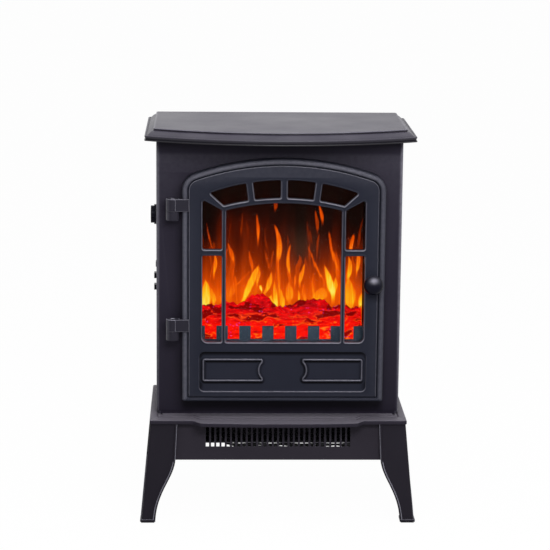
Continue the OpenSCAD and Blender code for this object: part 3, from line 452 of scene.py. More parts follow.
def surface(tree, look):
    """Gives a material its surface: a principled shader with these inputs."""
    shader = place(tree, "ShaderNodeBsdfPrincipled", look).outputs[0]
    place(tree, "ShaderNodeOutputMaterial", {"Surface": shader})


# Colours laid over the coat: a pale coat for painted highlights on edges, partly rubbing, dust that also
# stands as painted top light, and near black for painted shade.
WORN_AND_HIGHLIGHT_COAT = srgb(164, 162, 176)
DUST_AND_TOP_LIGHT_TONE = srgb(150, 145, 156)
PAINTED_SHADE_TONE = srgb(3, 2, 6)


def coated(name, dark, light, rough, grain=1400.0, bump=0.00003, dust_and_top_light=0.06, sheen=0.2, even=0.0):
    """Satin paint or moulded plastic: two close tones, stipple, dust that also paints top light on faces
    that look up, and the painted highlights and painted shade that the points carry.
    """
    material, tree, where = new_material(name)
    coat = use_group(tree, POWDER_COAT, place=where, grain=grain)
    # Dust and painted top light on faces that look up
    powder = use_group(tree, DUST_AND_TOP_LIGHT_GROUP, place=where, even=even)
    edges = use_group(tree, EDGE_WEAR_AND_LIGHT_GROUP, place=where)
    tone = blended(tree, coat["Tone"], srgb(*dark), srgb(*light))
    dusted_and_top_lit = blended(tree, product(tree, powder["Mask"], dust_and_top_light), tone, DUST_AND_TOP_LIGHT_TONE)
    with_painted_shade = blended(tree, edges["Painted shade"], dusted_and_top_lit, PAINTED_SHADE_TONE)
    spread = ranged(tree, coat["Gloss"], 0.0, 1.0, rough - 0.05, rough + 0.06)
    look = {
        "Base Color": blended(tree, edges["Mask"], with_painted_shade, WORN_AND_HIGHLIGHT_COAT),
        "Roughness": sums(tree, "MULTIPLY_ADD", edges["Mask"], -0.12, spread),
        "Specular IOR Level": sheen,
        "Normal": relief(tree, coat["Height"], 0.6, bump),
    }
    surface(tree, look)
    return material


def bare_metal(name, dark, light, rough, spangle=160.0):
    """Uncoated sheet or turned metal, with two close tones."""
    material, tree, where = new_material(name)
    steel = use_group(tree, ROLLED_STEEL, place=where, spangle=spangle)
    look = {
        "Base Color": blended(tree, steel["Tone"], srgb(*dark), srgb(*light)),
        "Roughness": ranged(tree, steel["Tone"], 0.0, 1.0, rough - 0.06, rough + 0.08),
        "Metallic": 1.0,
        "Normal": relief(tree, steel["Height"], 0.4, 0.00002),
    }
    surface(tree, look)
    return material


# ---------- finishes ----------


charcoal_paint = coated("charcoal paint", (45, 41, 54), (50, 46, 59), 0.42, sheen=0.07)
leg_paint = coated("leg paint", (40, 37, 45), (44, 41, 49), 0.42, sheen=0.05)
apron_paint = coated("apron paint", (56, 52, 61), (61, 57, 66), 0.42, sheen=0.05)
top_paint = coated(
    "top board paint", (47, 43, 58), (53, 49, 64), 0.40, grain=1900.0, bump=0.00002, dust_and_top_light=0.1, sheen=0.35
)
door_paint = coated("door paint", (41, 43, 55), (46, 48, 60), 0.36, grain=1700.0, bump=0.00002, sheen=0.05)
# The hearth's paint is lighter and covers its top evenly with the pale dust tone: painted top light.
hearth_paint_top_lit = coated("hearth paint with painted top light", (53, 49, 60), (58, 54, 65), 0.42, dust_and_top_light=0.57, sheen=0.05, even=0.85)
hinge_paint = coated("hinge paint", (40, 38, 48), (46, 44, 54), 0.36, sheen=0.1)
knob_plastic = coated(
    "knob plastic", (20, 20, 32), (25, 25, 37), 0.28, grain=2600.0, bump=0.00001, dust_and_top_light=0.14, sheen=0.05
)
firebox_black = coated("firebox black", (22, 16, 15), (28, 20, 18), 0.75, dust_and_top_light=0.05, sheen=0.05)
grate_paint = coated("grate paint", (44, 54, 66), (50, 60, 72), 0.55, sheen=0.05)
board_white = coated("circuit board white", (214, 212, 204), (226, 224, 216), 0.5)
bearing_nylon = coated("bearing nylon", (220, 214, 200), (230, 224, 210), 0.45, sheen=0.4)
bakelite = coated("brown bakelite", (66, 40, 28), (80, 50, 34), 0.4)
foot_rubber = coated("foot rubber", (22, 22, 24), (30, 30, 32), 0.8, grain=900.0, sheen=0.3)
magnet_black = coated("magnet ferrite", (34, 34, 37), (44, 44, 47), 0.5)
# The heater's fins and housing are painted dark as shade deep inside the cabinet.
heater_fins_darkened = coated("heater fins painted dark as shade", (38, 36, 42), (50, 47, 54), 0.6, sheen=0.05)
galvanised = bare_metal("galvanised sheet", (168, 170, 172), (196, 198, 200), 0.42)
shade_darkened_sheet = bare_metal("sheet painted dark as shade", (66, 64, 70), (84, 82, 88), 0.55)
zinc_steel = bare_metal("zinc plated steel", (180, 180, 178), (204, 204, 202), 0.3, 600.0)
rotor_foil = bare_metal("rotor foil", (210, 210, 212), (226, 226, 228), 0.18, 300.0)
wheel_alloy = bare_metal("blower alloy", (186, 188, 190), (206, 208, 210), 0.32, 400.0)
motor_can = bare_metal("motor can", (150, 151, 150), (176, 177, 176), 0.36, 380.0)


def clear_pane():
    """Thin clear glass that lets light through to what stands behind it."""
    material, tree, where = new_material("door pane glass")
    haze = clouds(tree, where, 16.0, 3.0)[0]
    look = {
        "Base Color": (0.97, 0.98, 0.98, 1.0),
        "Transmission Weight": 1.0,
        "IOR": 1.05,
        "Roughness": ranged(tree, haze, 0.35, 0.7, 0.0, 0.004),
    }
    glass = place(tree, "ShaderNodeBsdfPrincipled", look).outputs[0]
    clear = place(tree, "ShaderNodeBsdfTransparent", {"Color": (0.94, 0.95, 0.95, 1.0)}).outputs[0]
    shadow = place(tree, "ShaderNodeLightPath").outputs["Is Shadow Ray"]
    chosen = place(tree, "ShaderNodeMixShader", {0: shadow, 1: glass, 2: clear}).outputs[0]
    place(tree, "ShaderNodeOutputMaterial", {"Surface": chosen})
    return material


FLAME_COLOURS = [
    (0.0, (14, 6, 4)),
    (0.08, (34, 7, 3)),
    (0.18, (74, 16, 2)),
    (0.27, (110, 28, 1)),
    (0.36, (152, 45, 1)),
    (0.45, (192, 62, 2)),
    (0.54, (226, 76, 2)),
    (0.63, (245, 104, 5)),
    (0.72, (253, 130, 8)),
    (0.81, (255, 162, 14)),
    (0.91, (255, 200, 32)),
    (1.0, (255, 230, 92)),
]


def flame_film():
    """The lit flame picture: a warmth on the sheet's points picks the colour."""
    material, tree, where = new_material("flame film")
    flicker = clouds(tree, stretched(tree, where, (260.0, 1.0, 26.0)), 1.0, 3.0)[0]
    lively = sums(tree, "ADD", stored(tree, "warmth"), ranged(tree, flicker, 0.0, 1.0, -0.035, 0.035))
    fire = ramp(tree, lively, FLAME_COLOURS)
    look = {
        "Emission Color": blended(tree, stored(tree, "haze"), fire, srgb(70, 44, 30)),
        "Emission Strength": 1.0,
        "Base Color": srgb(4, 3, 3),
        "Roughness": ranged(tree, flicker, 0.3, 0.7, 0.5, 0.62),
        "Specular IOR Level": 0.0,
    }
    surface(tree, look)
    return material


CRIMSON = [(0.32, (112, 1, 8)), (0.43, (180, 2, 10)), (0.53, (220, 6, 10)), (0.66, (246, 16, 12))]
SCARLET = [(0.30, (158, 2, 1)), (0.40, (232, 8, 1)), (0.55, (255, 18, 0)), (0.72, (255, 52, 2))]
COOL_SPARKS = [(0.6, (90, 20, 90)), (0.72, (214, 40, 150)), (0.95, (255, 80, 180))]


def sparks(tree, where):
    """Small scattered points on the coals: where they show and their cool colour."""
    dots = cells(tree, where, 230.0)
    point = ranged(tree, dots["Distance"], 0.18, 0.3, 1.0, 0.0)
    chance = ranged(tree, clouds(tree, where, 38.0, 2.0)[0], 0.55, 0.6)
    tint = red_share(tree, dots["Color"])
    kept = product(tree, chance, ranged(tree, tint, 0.5, 0.6))
    return product(tree, point, kept), ramp(tree, tint, COOL_SPARKS)


def ember_resin():
    """Glowing resin coals: red bark, dark hollows with hot rims, bright gaps low down and cool sparks."""
    material, tree, where = new_material("ember resin")
    swirl = stretched(tree, clouds(tree, where, 45.0, 3.0)["Color"], (0.02, 0.02, 0.02))
    moved = place(tree, "ShaderNodeVectorMath", {0: where, 1: swirl}, operation="ADD").outputs[0]
    bark = clouds(tree, stretched(tree, moved, (50.0, 120.0, 330.0)), 1.0, 5.0, 0.6)[0]
    hollow = clouds(tree, stretched(tree, moved, (24.0, 60.0, 62.0)), 1.0, 2.0)[0]
    glow = stored(tree, "glow")
    skin = blended(tree, glow, ramp(tree, bark, CRIMSON), ramp(tree, bark, SCARLET))
    shade = ranged(tree, hollow, 0.39, 0.43, 0.85, 0.0)
    shaded = blended(tree, shade, skin, srgb(104, 2, 1))
    inside = ranged(tree, hollow, 0.415, 0.435)
    rim = product(tree, inside, ranged(tree, hollow, 0.435, 0.46, 1.0, 0.0))
    lively = product(tree, rim, ranged(tree, bark, 0.42, 0.50))
    rimmed = blended(tree, product(tree, lively, glow), shaded, srgb(255, 126, 22))
    seam = product(tree, ranged(tree, bark, 0.635, 0.68), glow)
    hot = blended(tree, seam, rimmed, srgb(255, 140, 26))
    glint, cool = sparks(tree, where)
    look = {
        "Emission Color": blended(tree, glint, hot, cool),
        "Emission Strength": 0.98,
        "Base Color": blended(tree, shade, srgb(70, 3, 4), srgb(24, 2, 3)),
        "Roughness": ranged(tree, bark, 0.3, 0.7, 0.3, 0.5),
        "Specular IOR Level": 0.02,
        "Normal": relief(tree, bark, 0.9, 0.0015),
    }
    surface(tree, look)
    return material


door_glass = clear_pane()
flame_picture = flame_film()
ember_glow = ember_resin()


# ---------- top plate ----------

PLATE_W = 393.0
PLATE_D = 268.0
PLATE_BOW = 51.0
PLATE_Z0 = 568.5
# The bowed front stops this far from the sides
PLATE_SHOULDER = 9

# The moulded edge from its underside up: inset at the sides, inset at the front, height, painted light
# (above 0 a painted highlight, below 0 painted shade)
PLATE_EDGE = [
    (7.0, 7.0, 0.0, 0.0),
    (0.9, 0.9, 0.0, -0.8),
    (0.2, 0.2, 0.2, -0.9),
    (0.0, 0.0, 0.8, -0.9),
    (0.0, 0.0, 1.5, -0.8),
    (0.3, 0.3, 2.0, -0.8),
    (1.9, 1.9, 2.4, -0.8),
    (0.7, 0.7, 5.4, -0.5),
    (0.4, 0.4, 5.9, -0.35),
    (0.1, 0.1, 6.5, -0.25),
    (0.4, 0.4, 7.3, -0.15),
    (1.2, 1.4, 7.8, 0.0),
    (2.3, 3.0, 7.7, 0.0),
    (2.9, 3.9, 7.1, -0.4),
    (3.6, 4.9, 7.0, -0.5),
    (4.3, 6.0, 7.8, -0.2),
    (5.6, 8.2, 9.0, -0.05),
    (7.2, 11.2, 10.4, -0.05),
    (9.0, 14.4, 11.8, -0.05),
    (11.2, 17.8, 13.0, -0.05),
    (13.6, 21.4, 13.6, -0.25),
    (13.6, 21.4, 14.1, -0.9),
    (12.7, 20.3, 14.4, -0.9),
    (12.5, 20.0, 14.9, -0.5),
    (12.6, 20.1, 15.6, 0.0),
    (13.0, 20.6, 16.2, 0.4),
    (13.8, 21.5, 16.5, 0.2),
    (16.0, 24.0, 16.5, 0.0),
]


def plate_outline(side, front):
    """The plate seen from above, inset at its sides and its bowed front; the rear is inset least."""
    half = PLATE_W / 2 - side
    radius = (PLATE_W**2 / 4 + PLATE_BOW**2) / (2 * PLATE_BOW)
    centre = radius - PLATE_D / 2
    rear = PLATE_D / 2 - side / 4
    r = radius - front
    corner = centre - math.sqrt(r * r - half * half)
    reach = math.degrees(math.asin((half - PLATE_SHOULDER) / r))
    bow = arc(0, centre, r, 270 - reach, 270 + reach, 60)
    points = [(-half, rear), (-half, corner)] + bow + [(half, corner), (half, rear)]
    radii = [2.5, 4.0] + [0] * len(bow) + [4.0, 2.5]
    return rounded(points, radii, 6)


def top_board():
    skin = Skin()
    rings = [flat_xy(plate_outline(side, front), PLATE_Z0 + rise) for side, front, rise, _ in PLATE_EDGE]
    skin.bar(rings, [wear_and_painted_light for _, _, _, wear_and_painted_light in PLATE_EDGE])
    skin.piece("moulded_top_board", top_paint, "top_board", stands_for=["top_plate"])


top_board()


# ---------- cabinet front ----------

FRONT_HALF = 180.5
FRONT_Y = -42.0
FRONT_Z0 = 158.5
FRONT_RETURN = 25
FOLD_R = 6.0
SHEET = 1.5
CUT_HALF = 127.0
CUT_Z0 = 259.0
CUT_Z1 = 517.0
CUT_OUT = corners(-CUT_HALF, CUT_HALF, CUT_Z0, CUT_Z1)
MAGNET_HOLE = corners(146.5, 154.5, 342, 372)
SCREW_X = -156.2
SCREW_ZS = (457.0, 278.3)
SCREW_R = 1.9

# Painted shade on the front: above 0 painted lighter, below 0 painted darker
FOOT_SHADE = -0.16
DOOR_SHADE = -0.6
PLATE_SHADE = -1.0
SIDE_SHADE = -0.07
SHADE_Z0 = 172
SHADE_Z1 = 184
SHADE_LEFT = (-146, -138)
SHADE_RIGHT = (150, 158)
# Heights with their painted light and shade: near the plate, all the way up the folds, and on the flat over
# the cut-out
UPPER_LEVELS = [(542, 0.08), (553, -0.1), (PLATE_Z0, PLATE_SHADE)]
FOLD_LEVELS = [(FRONT_Z0, FOOT_SHADE), (300, -0.05), (440, 0.012), (520, 0.05)] + UPPER_LEVELS
FLAT_LEVELS = [(CUT_Z1, 0.05)] + UPPER_LEVELS
MIDDLE_Z = 470
# Painted highlight on the fold, from the return's end to the flat
FOLD_LIGHT = [0, 0, 0.5, 0.62, 0.65, 0.65, 0.62, 0.5, 0.28, 0.08, 0.0]


def circle(cx, cz, r):
    return arc(cx, cz, r, 0, 360, 20)[:-1]


def bent_edge(inset):
    """The folded edge of the front seen from above: the return and the corner, left side."""
    x = -FRONT_HALF + inset
    points = [(x, FRONT_Y + FRONT_RETURN), (x, FRONT_Y + FOLD_R + 3)]
    return points + arc(-FRONT_HALF + FOLD_R, FRONT_Y + FOLD_R, FOLD_R - inset, 180, 270, 8)


def fold(skin, inset, side):
    """One return with its rounded corner; the right corner gets the most painted highlight."""
    shown = 0 if inset else (1.0 if side > 0 else 0.8)
    bands = [[shown * light * (1 - abs(f)) + f for light in FOLD_LIGHT] for _, f in FOLD_LEVELS]
    outline = [(-side * x, y) for x, y in bent_edge(inset)]
    skin.loft([flat_xy(outline, z) for z, _ in FOLD_LEVELS], closed=False, wear_and_painted_light=bands)


def patch(skin, y, x0, x1, z0, z1, wear_and_painted_light, holes=()):
    """A rectangle of the flat sheet with the painted light and shade of its four corners, and holes in it.
    """
    edge = skin.ring(flat_xz(corners(x0, x1, z0, z1), y), wear_and_painted_light)
    cuts = [skin.ring(flat_xz(hole, y), wear_and_painted_light[0]) for hole in holes]
    skin.fill(edge, *cuts)


def flat_front(skin, y, screws):
    """The flat of the sheet at one of its faces, with painted shade darkest under the door and under the
    plate.
    """
    flat = FRONT_HALF - FOLD_R

    def band(x0, x1, z0, z1, low, high, holes=()):
        patch(skin, y, x0, x1, z0, z1, [low, low, high, high], holes)

    under_door = (SHADE_LEFT[1], SHADE_RIGHT[0], DOOR_SHADE)
    for x0, x1, foot in ((-flat, SHADE_LEFT[0], FOOT_SHADE), under_door, (SHADE_RIGHT[1], flat, FOOT_SHADE)):
        band(x0, x1, FRONT_Z0, SHADE_Z0, 0.6 * foot, foot)
        band(x0, x1, SHADE_Z0, SHADE_Z1, foot, foot)
        band(x0, x1, SHADE_Z1, CUT_Z0, foot, 0 if foot == DOOR_SHADE else SIDE_SHADE)
    heights = ((FRONT_Z0, SHADE_Z0, 0.6, 1), (SHADE_Z0, SHADE_Z1, 1, 1), (SHADE_Z1, CUT_Z0, 1, 0))
    for (x0, x1), a, b in ((SHADE_LEFT, FOOT_SHADE, DOOR_SHADE), (SHADE_RIGHT, DOOR_SHADE, FOOT_SHADE)):
        for z0, z1, low, high in heights:
            patch(skin, y, x0, x1, z0, z1, [a * low, b * low, b * high, a * high])
    band(-flat, -CUT_HALF, CUT_Z0, MIDDLE_Z, SIDE_SHADE, 0.02, screws)
    band(CUT_HALF, flat, CUT_Z0, MIDDLE_Z, SIDE_SHADE, 0.02, [MAGNET_HOLE])
    band(-flat, -CUT_HALF, MIDDLE_Z, CUT_Z1, 0.02, 0.05)
    band(CUT_HALF, flat, MIDDLE_Z, CUT_Z1, 0.02, 0.05)
    for (z0, low), (z1, high) in zip(FLAT_LEVELS, FLAT_LEVELS[1:]):
        band(-flat, flat, z0, z1, low, high)


def folded_front():
    """Cabinet front folded from one sheet, with the fire's cut-out, screw holes and the magnet's hole."""
    skin = Skin()
    screws = [circle(SCREW_X, z, SCREW_R) for z in SCREW_ZS]
    for inset in (0.0, SHEET):
        for side in (-1, 1):
            fold(skin, inset, side)
        flat_front(skin, FRONT_Y + inset, screws)
    for hole in [CUT_OUT, MAGNET_HOLE, *screws]:
        skin.loft([flat_xz(hole, FRONT_Y), flat_xz(hole, FRONT_Y + SHEET)])
    for z in (FRONT_Z0, PLATE_Z0):
        edges = []
        for inset in (0.0, SHEET):
            left = bent_edge(inset)
            edges.append(skin.ring(flat_xy(left + flipped(left), z)))
        skin.join(*edges, closed=False)
    for side in (-1, 1):
        x = side * FRONT_HALF
        lip = [(x, FRONT_Y + FRONT_RETURN), (x - side * SHEET, FRONT_Y + FRONT_RETURN)]
        skin.loft([flat_xy(lip, z) for z in (FRONT_Z0, PLATE_Z0)], closed=False)
    skin.piece("folded_front_panel", charcoal_paint, "cabinet_paint", stands_for=["front_panel"])


folded_front()


# ---------- door ----------

DOOR_X = 6.0
DOOR_HALF = 148.5
DOOR_Z0 = 178.5
DOOR_CROWN = 540.0
DOOR_ARC = 400.0
DOOR_BACK = -43.8
PANEL_FACE = -63.0
WEB_FACE = -60.5
WEB_BACK = -55.5
BEAD_W = 8.0
BEAD_H = 4.0
GROOVE_END = 10.0
GROOVE_DEEP = 2.8
CORNER = 26.0
FLANGE_LOW = 5
WIN_Z0 = 268.0
WIN_Z1 = 475.6
WIN_HALF = 84.5
WIN_ARC = 338.0
SIDE_X0 = 90.5
SIDE_X1 = 118.8
SIDE_RISE = 15.6
RAIL_Z0 = 397.5
RAIL_Z1 = 406.5
# Fan lights: x of the upper edge's ends, then x of the lower edge's ends from the outer one
FAN_PANES = [(5, 45.8, 42.5, 5), (55.7, 108.7, 88, 52.3)]
FAN_TOP = 509.6
FAN_TOP_ARC = 314
FAN_FOOT = 482.8
FAN_FOOT_ARC = 345.2
# The recess round the plaques: half width, lower edge, upper edge, corner
RECESS = (122.7, 193.3, 253.0, 7.0)
PLAQUE_X0 = 27.2
PLAQUE_X1 = 118.7
PLAQUE_Z = 225.15
PLAQUE_HALF = 17.5
PLAQUE_NECK = 12.8
KNOB_AT = (DOOR_X + 131.0, PANEL_FACE, 357.0)
KNOB_R = 14.5
KNOB_WIDEST = 16
KNOB_CROWN = 13
KNOB_STEPS = 96
# The knob's painted highlight, in radians on its ball: how far up it lies, its spread upwards and sideways
HIGHLIGHT_AT = 0.72
HIGHLIGHT_UP = 0.3
HIGHLIGHT_ACROSS = 0.46


def door_outline(inset, low, corner):
    foot = max(4 - inset * 0.3, 1.2)
    return arched(DOOR_HALF - inset, DOOR_Z0 + low, DOOR_CROWN - inset, DOOR_ARC - inset, corner, foot)


def fan_outline(inner_top, outer_top, outer_low, inner_low):
    n = 14
    up = [inner_top + (outer_top - inner_top) * i / n for i in range(n + 1)]
    down = [outer_low + (inner_low - outer_low) * i / n for i in range(n + 1)]
    points = [(x, FAN_TOP - arc_drop(FAN_TOP_ARC, x)) for x in up]
    points += [(x, FAN_FOOT - arc_drop(FAN_FOOT_ARC, x)) for x in down]
    radii = [0] * len(points)
    for corner in (0, n, n + 1, 2 * n + 1):
        radii[corner] = 2.2
    return rounded(points, radii, 5)


def pane_outlines():
    """The nine openings of the door, measured from its own middle."""
    panes = [arched(WIN_HALF, WIN_Z0, WIN_Z1, WIN_ARC, 3, 2.5)]
    top = WIN_Z1 - arc_drop(WIN_ARC, WIN_HALF)
    right = [fan_outline(*p) for p in FAN_PANES]
    upper = [(SIDE_X0, RAIL_Z1), (SIDE_X1, RAIL_Z1), (SIDE_X1, top + SIDE_RISE), (SIDE_X0, top)]
    right.append(rounded(upper, [2.5, 3.0, 2.5, 2.0], 5))
    right.append(rounded(corners(SIDE_X0, SIDE_X1, WIN_Z0, RAIL_Z0), [2.5, 8.0, 2.0, 2.0], 7))
    for pane in right:
        panes += [pane, [(-x, z) for x, z in pane]]
    return panes


def plaque_outline(side):
    """A framed blank plaque whose inner end curls like a bracket."""
    x0 = PLAQUE_X0 + 1.5
    low, high = PLAQUE_Z - PLAQUE_HALF, PLAQUE_Z + PLAQUE_HALF
    bow = arc(PLAQUE_X0 - 9.5, PLAQUE_Z, 16.0, 44, -44, 14)
    outer = [(PLAQUE_X1, low), (PLAQUE_X1, high), (x0, high), (x0, PLAQUE_Z + PLAQUE_NECK)]
    points = outer + bow + [(x0, PLAQUE_Z - PLAQUE_NECK), (x0, low)]
    radii = [4.0, 4.0, 3.0, 0] + [0] * len(bow) + [0, 3.0]
    return [(side * x, z) for x, z in rounded(points, radii, 5)]


def half_round(width, height, n=8):
    """Distances in from an edge and heights of a half-round bead."""
    angles = [math.pi * i / n for i in range(n + 1)]
    return [(width / 2 * (1 - math.cos(a)), height * math.sin(a)) for a in angles]


def headings(loop):
    """The way along a loop at each of its points, going round with the inside on the left."""
    turn = 1 if signed_area(loop) > 0 else -1
    out = []
    for before, after in zip(loop[-1:] + loop[:-1], loop[1:] + loop[:1]):
        out.append(Vector((after[0] - before[0], after[1] - before[1])).normalized() * turn)
    return out


def lit_from_above(loop):
    """Share of painted highlight that each point of an opening's lip gets: most below, least along the top.
    """
    return [0.03 + 0.97 * min(max((0.3 + along[0]) / 1.25, 0), 1) for along in headings(loop)]


def lit_all_round(loop, left, right, above, below):
    """Painted light on a raised bead that runs round a loop, by the side it is on: a painted highlight above
    0, painted shade below 0.
    """
    out = []
    for along in headings(loop):
        across = right if along[1] > 0 else left
        upward = above if along[0] < 0 else below
        out.append(along[1] ** 2 * across + along[0] ** 2 * upward)
    return out


def shone(levels, lit):
    return [[level * v for v in lit] for level in levels]


def crest(place_on_rib, up):
    """Painted highlight on a rib's rounded top: it sits towards the side that looks up."""
    off = (place_on_rib - 0.5 + 0.22 * up) / 0.2
    return 0.72 * math.exp(-(off**2)) * (0.6 + 0.4 * abs(up))


def plaque_painted_light(rib):
    """A plaque's rib gets a painted highlight where it looks up and painted shade in the creases under it.
    """
    ups = lit_all_round(rib, 0.0, 0.0, 1.0, -1.0)
    outer = lit_all_round(rib, -0.75, -0.3, -0.05, -1.0)
    inner = lit_all_round(rib, -0.5, -0.3, -1.0, -0.05)
    flat = [0.0] * len(rib)
    crests = [[crest(i / 8, up) for up in ups] for i in range(1, 8)]
    return [flat, *shone([0.85], outer), outer, outer] + crests + [inner, inner, *shone([0.85], inner), flat]


# Across the lip of a pane, outside in: distance out, height over the panel, painted highlight
PANE_LIP = [
    (3.0, 0.0, 0),
    (2.7, 0.5, 0),
    (2.0, 0.85, 0.05),
    (1.6, 0.9, 0.8),
    (0.5, 0.9, 0.85),
    (0.1, 0.6, 0.3),
    (0.0, 0.0, 0),
    (0.0, -0.6, 0),
    (0.0, PANEL_FACE - WEB_BACK, 0),
]
# Down the recess's wall: distance out, depth, painted highlight, painted shade
RECESS_WALL = [
    (1.6, 0.0, 0, 0),
    (0.9, 0.0, 0.25, 0),
    (0.3, 0.25, 0.8, 0.1),
    (0.0, 0.9, 0.5, 0.8),
    (0.0, 2.3, 0.1, 1.0),
    (-0.3, 2.5, 0, 1.0),
    (-3.0, 2.5, 0, 0.8),
    (-6.5, 2.5, 0, 0),
]


def door_edge(skin):
    """The door's rim: its back edge, the half-round bead and the groove inside it; gives the inner ring."""
    rings = [(BEAD_W, DOOR_BACK), (0.6, DOOR_BACK), (0.0, DOOR_BACK - 0.6)]
    rings += [(inset, PANEL_FACE + 1.0 - height) for inset, height in half_round(BEAD_W, BEAD_H, 12)]
    floor = PANEL_FACE + GROOVE_DEEP
    rings += [(BEAD_W + 0.2, floor), (GROOVE_END - 0.3, floor), (GROOVE_END, floor - 0.2)]
    rings += [(GROOVE_END, PANEL_FACE + 0.6), (GROOVE_END + 0.2, PANEL_FACE + 0.15)]
    rings += [(GROOVE_END + 0.8, PANEL_FACE), (GROOVE_END + 1.3, PANEL_FACE)]
    loops = [flat_xz(door_outline(inset, inset * 0.68, CORNER - inset), y, DOOR_X) for inset, y in rings]
    rim = door_outline(0, 0, CORNER)
    # Painted highlight on the bead, painted shade in the groove, darkest at the foot, and a painted
    # highlight on the panel's edge
    rise = [math.sin(math.pi * i / 12) ** 1.5 for i in range(13)]
    wear_and_painted_light = [[0.0] * len(rim)] * 3 + shone(rise, lit_all_round(rim, 0.3, 0.22, 0.4, 0.03))
    wear_and_painted_light += shone([0.8, 1.0, 1.0, 0.6], lit_all_round(rim, -0.2, -0.25, -0.3, -1.0))
    wear_and_painted_light += shone([1.0, 0.25], lit_all_round(rim, 0.75, 0.6, 1.0, 0.1))
    wear_and_painted_light.append(lit_all_round(rim, 0.02, 0.03, 0.08, 0.0))
    return skin.loft(loops, wear_and_painted_light=wear_and_painted_light)[-1]


def pane_rims(skin):
    """The lips of all the panes: gives each one's outer ring and the ring at the web's back."""
    rims = []
    holes = []
    for pane in pane_outlines():
        loops = [flat_xz(grown(pane, out), PANEL_FACE - proud, DOOR_X) for out, proud, _ in PANE_LIP]
        ring = skin.loft(loops, wear_and_painted_light=shone([wear_and_painted_light for _, _, wear_and_painted_light in PANE_LIP], lit_from_above(pane)))
        rims.append(ring[0])
        holes.append(ring[-1])
    return rims, holes


def recess(skin):
    """The walls of the sunk field behind the plaques: gives the rings from the panel's face down."""
    half, z0, z1, r = RECESS
    edge = rounded(corners(-half, half, z0, z1), [r] * 4, 8)
    walls = [flat_xz(grown(edge, out), PANEL_FACE + deep, DOOR_X) for out, deep, _, _ in RECESS_WALL]
    lit = shone([light for _, _, light, _ in RECESS_WALL], lit_from_above(edge))
    shade = shone([dark for _, _, _, dark in RECESS_WALL], lit_all_round(edge, -0.8, -0.5, -1.0, 0.0))
    return skin.loft(walls, wear_and_painted_light=[[a + b for a, b in zip(p, q)] for p, q in zip(lit, shade)])


def plaque(skin, side):
    """The rib that frames one plaque, with thin feet on the sunk field that carry its painted shade."""
    rib = plaque_outline(side)
    profile = [(-4.0, 0.0), (-2.2, 0.1), (-0.5, 0.1)] + half_round(3.2, 2.3)
    profile += [(3.7, 0.1), (5.4, 0.1), (7.2, 0.0)]
    bead = [flat_xz(grown(rib, -d), WEB_FACE - 0.05 - h, DOOR_X) for d, h in profile]
    ring = skin.loft(bead, wear_and_painted_light=plaque_painted_light(rib))
    skin.join(ring[-1], ring[0])


def door_casting():
    skin = Skin()
    inner = door_edge(skin)
    rims, holes = pane_rims(skin)
    sunk = recess(skin)
    skin.fill(inner, *rims, sunk[0])
    skin.fill(sunk[-1])
    back = door_outline(BEAD_W, FLANGE_LOW, CORNER - BEAD_W)
    flange = skin.loft([flat_xz(back, y, DOOR_X) for y in (DOOR_BACK, WEB_BACK)])
    skin.fill(flange[-1], *holes)
    for side in (-1, 1):
        plaque(skin, side)
    skin.piece("cast_door", door_paint, "door_plastic", "door", stands_for=["door_frame"], sharp=38)


def full_turn(steps):
    """Even angles once round a circle."""
    return [2 * math.pi * i / steps for i in range(steps)]


def painted_knob_highlight(profile):
    """Painted highlight on the upper half of the knob's ball."""
    out = []
    for radius, reach in profile:
        lift = math.atan2(radius, reach - KNOB_WIDEST) if reach > KNOB_WIDEST else math.pi
        row = []
        for a in full_turn(KNOB_STEPS):
            upward = (lift * math.sin(a) - HIGHLIGHT_AT) / HIGHLIGHT_UP
            sideways = lift * math.cos(a) / HIGHLIGHT_ACROSS
            row.append(math.exp(-(upward**2) - sideways**2))
        out.append(row)
    return out


def door_knob():
    """Knob turned about an axis that runs forwards: a neck, a flare and a ball."""
    profile = [(2.5, -7.5), (2.5, 0.0), (6.2, 0.0), (6.5, 0.4), (6.4, 1.0), (5.2, 2.6), (5.0, 4.0)]
    profile += [(5.0, 7.5), (5.6, 9.6), (7.6, 11.6), (10.4, 12.8), (12.6, 13.3), (13.8, 13.9), (14.4, 14.9)]
    profile.append((KNOB_R, KNOB_WIDEST))
    for a in [math.radians(turn) for turn in range(5, 90, 5)]:
        profile.append((KNOB_R * math.cos(a), KNOB_WIDEST + KNOB_CROWN * math.sin(a)))
    profile.append((0.4, KNOB_WIDEST + KNOB_CROWN))
    x, y, z = KNOB_AT
    around = full_turn(KNOB_STEPS)
    rings = []
    for radius, out in profile:
        rings.append([(x + radius * math.cos(a), y - out, z + radius * math.sin(a)) for a in around])
    skin = Skin()
    skin.bar(rings, painted_knob_highlight(profile))
    skin.piece("turned_door_knob", knob_plastic, "knob_plastic", "door", stands_for=["door_knob"])


door_casting()
door_knob()


# ---------- hearth ----------

HEARTH_Z0 = 148.0
HEARTH_TOP = 154.0
HEARTH_HALF = 190.0
HEARTH_REAR = 132.0
CORNER_Y = -83.0
TONGUE_HALF = 113.0
SHOULDER_W = 15.0
TONGUE_OUT = 14.5
TONGUE_BOW = 4.0
WELL_HALF = 112.5
WELL_Y0 = -20.5
WELL_Y1 = 100.5
# Insets of the two grooves at the sides and at the front
GROOVES = ((12, 22), (17, 32))
# Across a groove: distance out from its middle line, depth
GROOVE = [(2.2, 0.0), (1.6, 0.3), (1.0, 1.1), (0.0, 1.5), (-1.0, 1.1), (-1.6, 0.3), (-2.2, 0.0)]


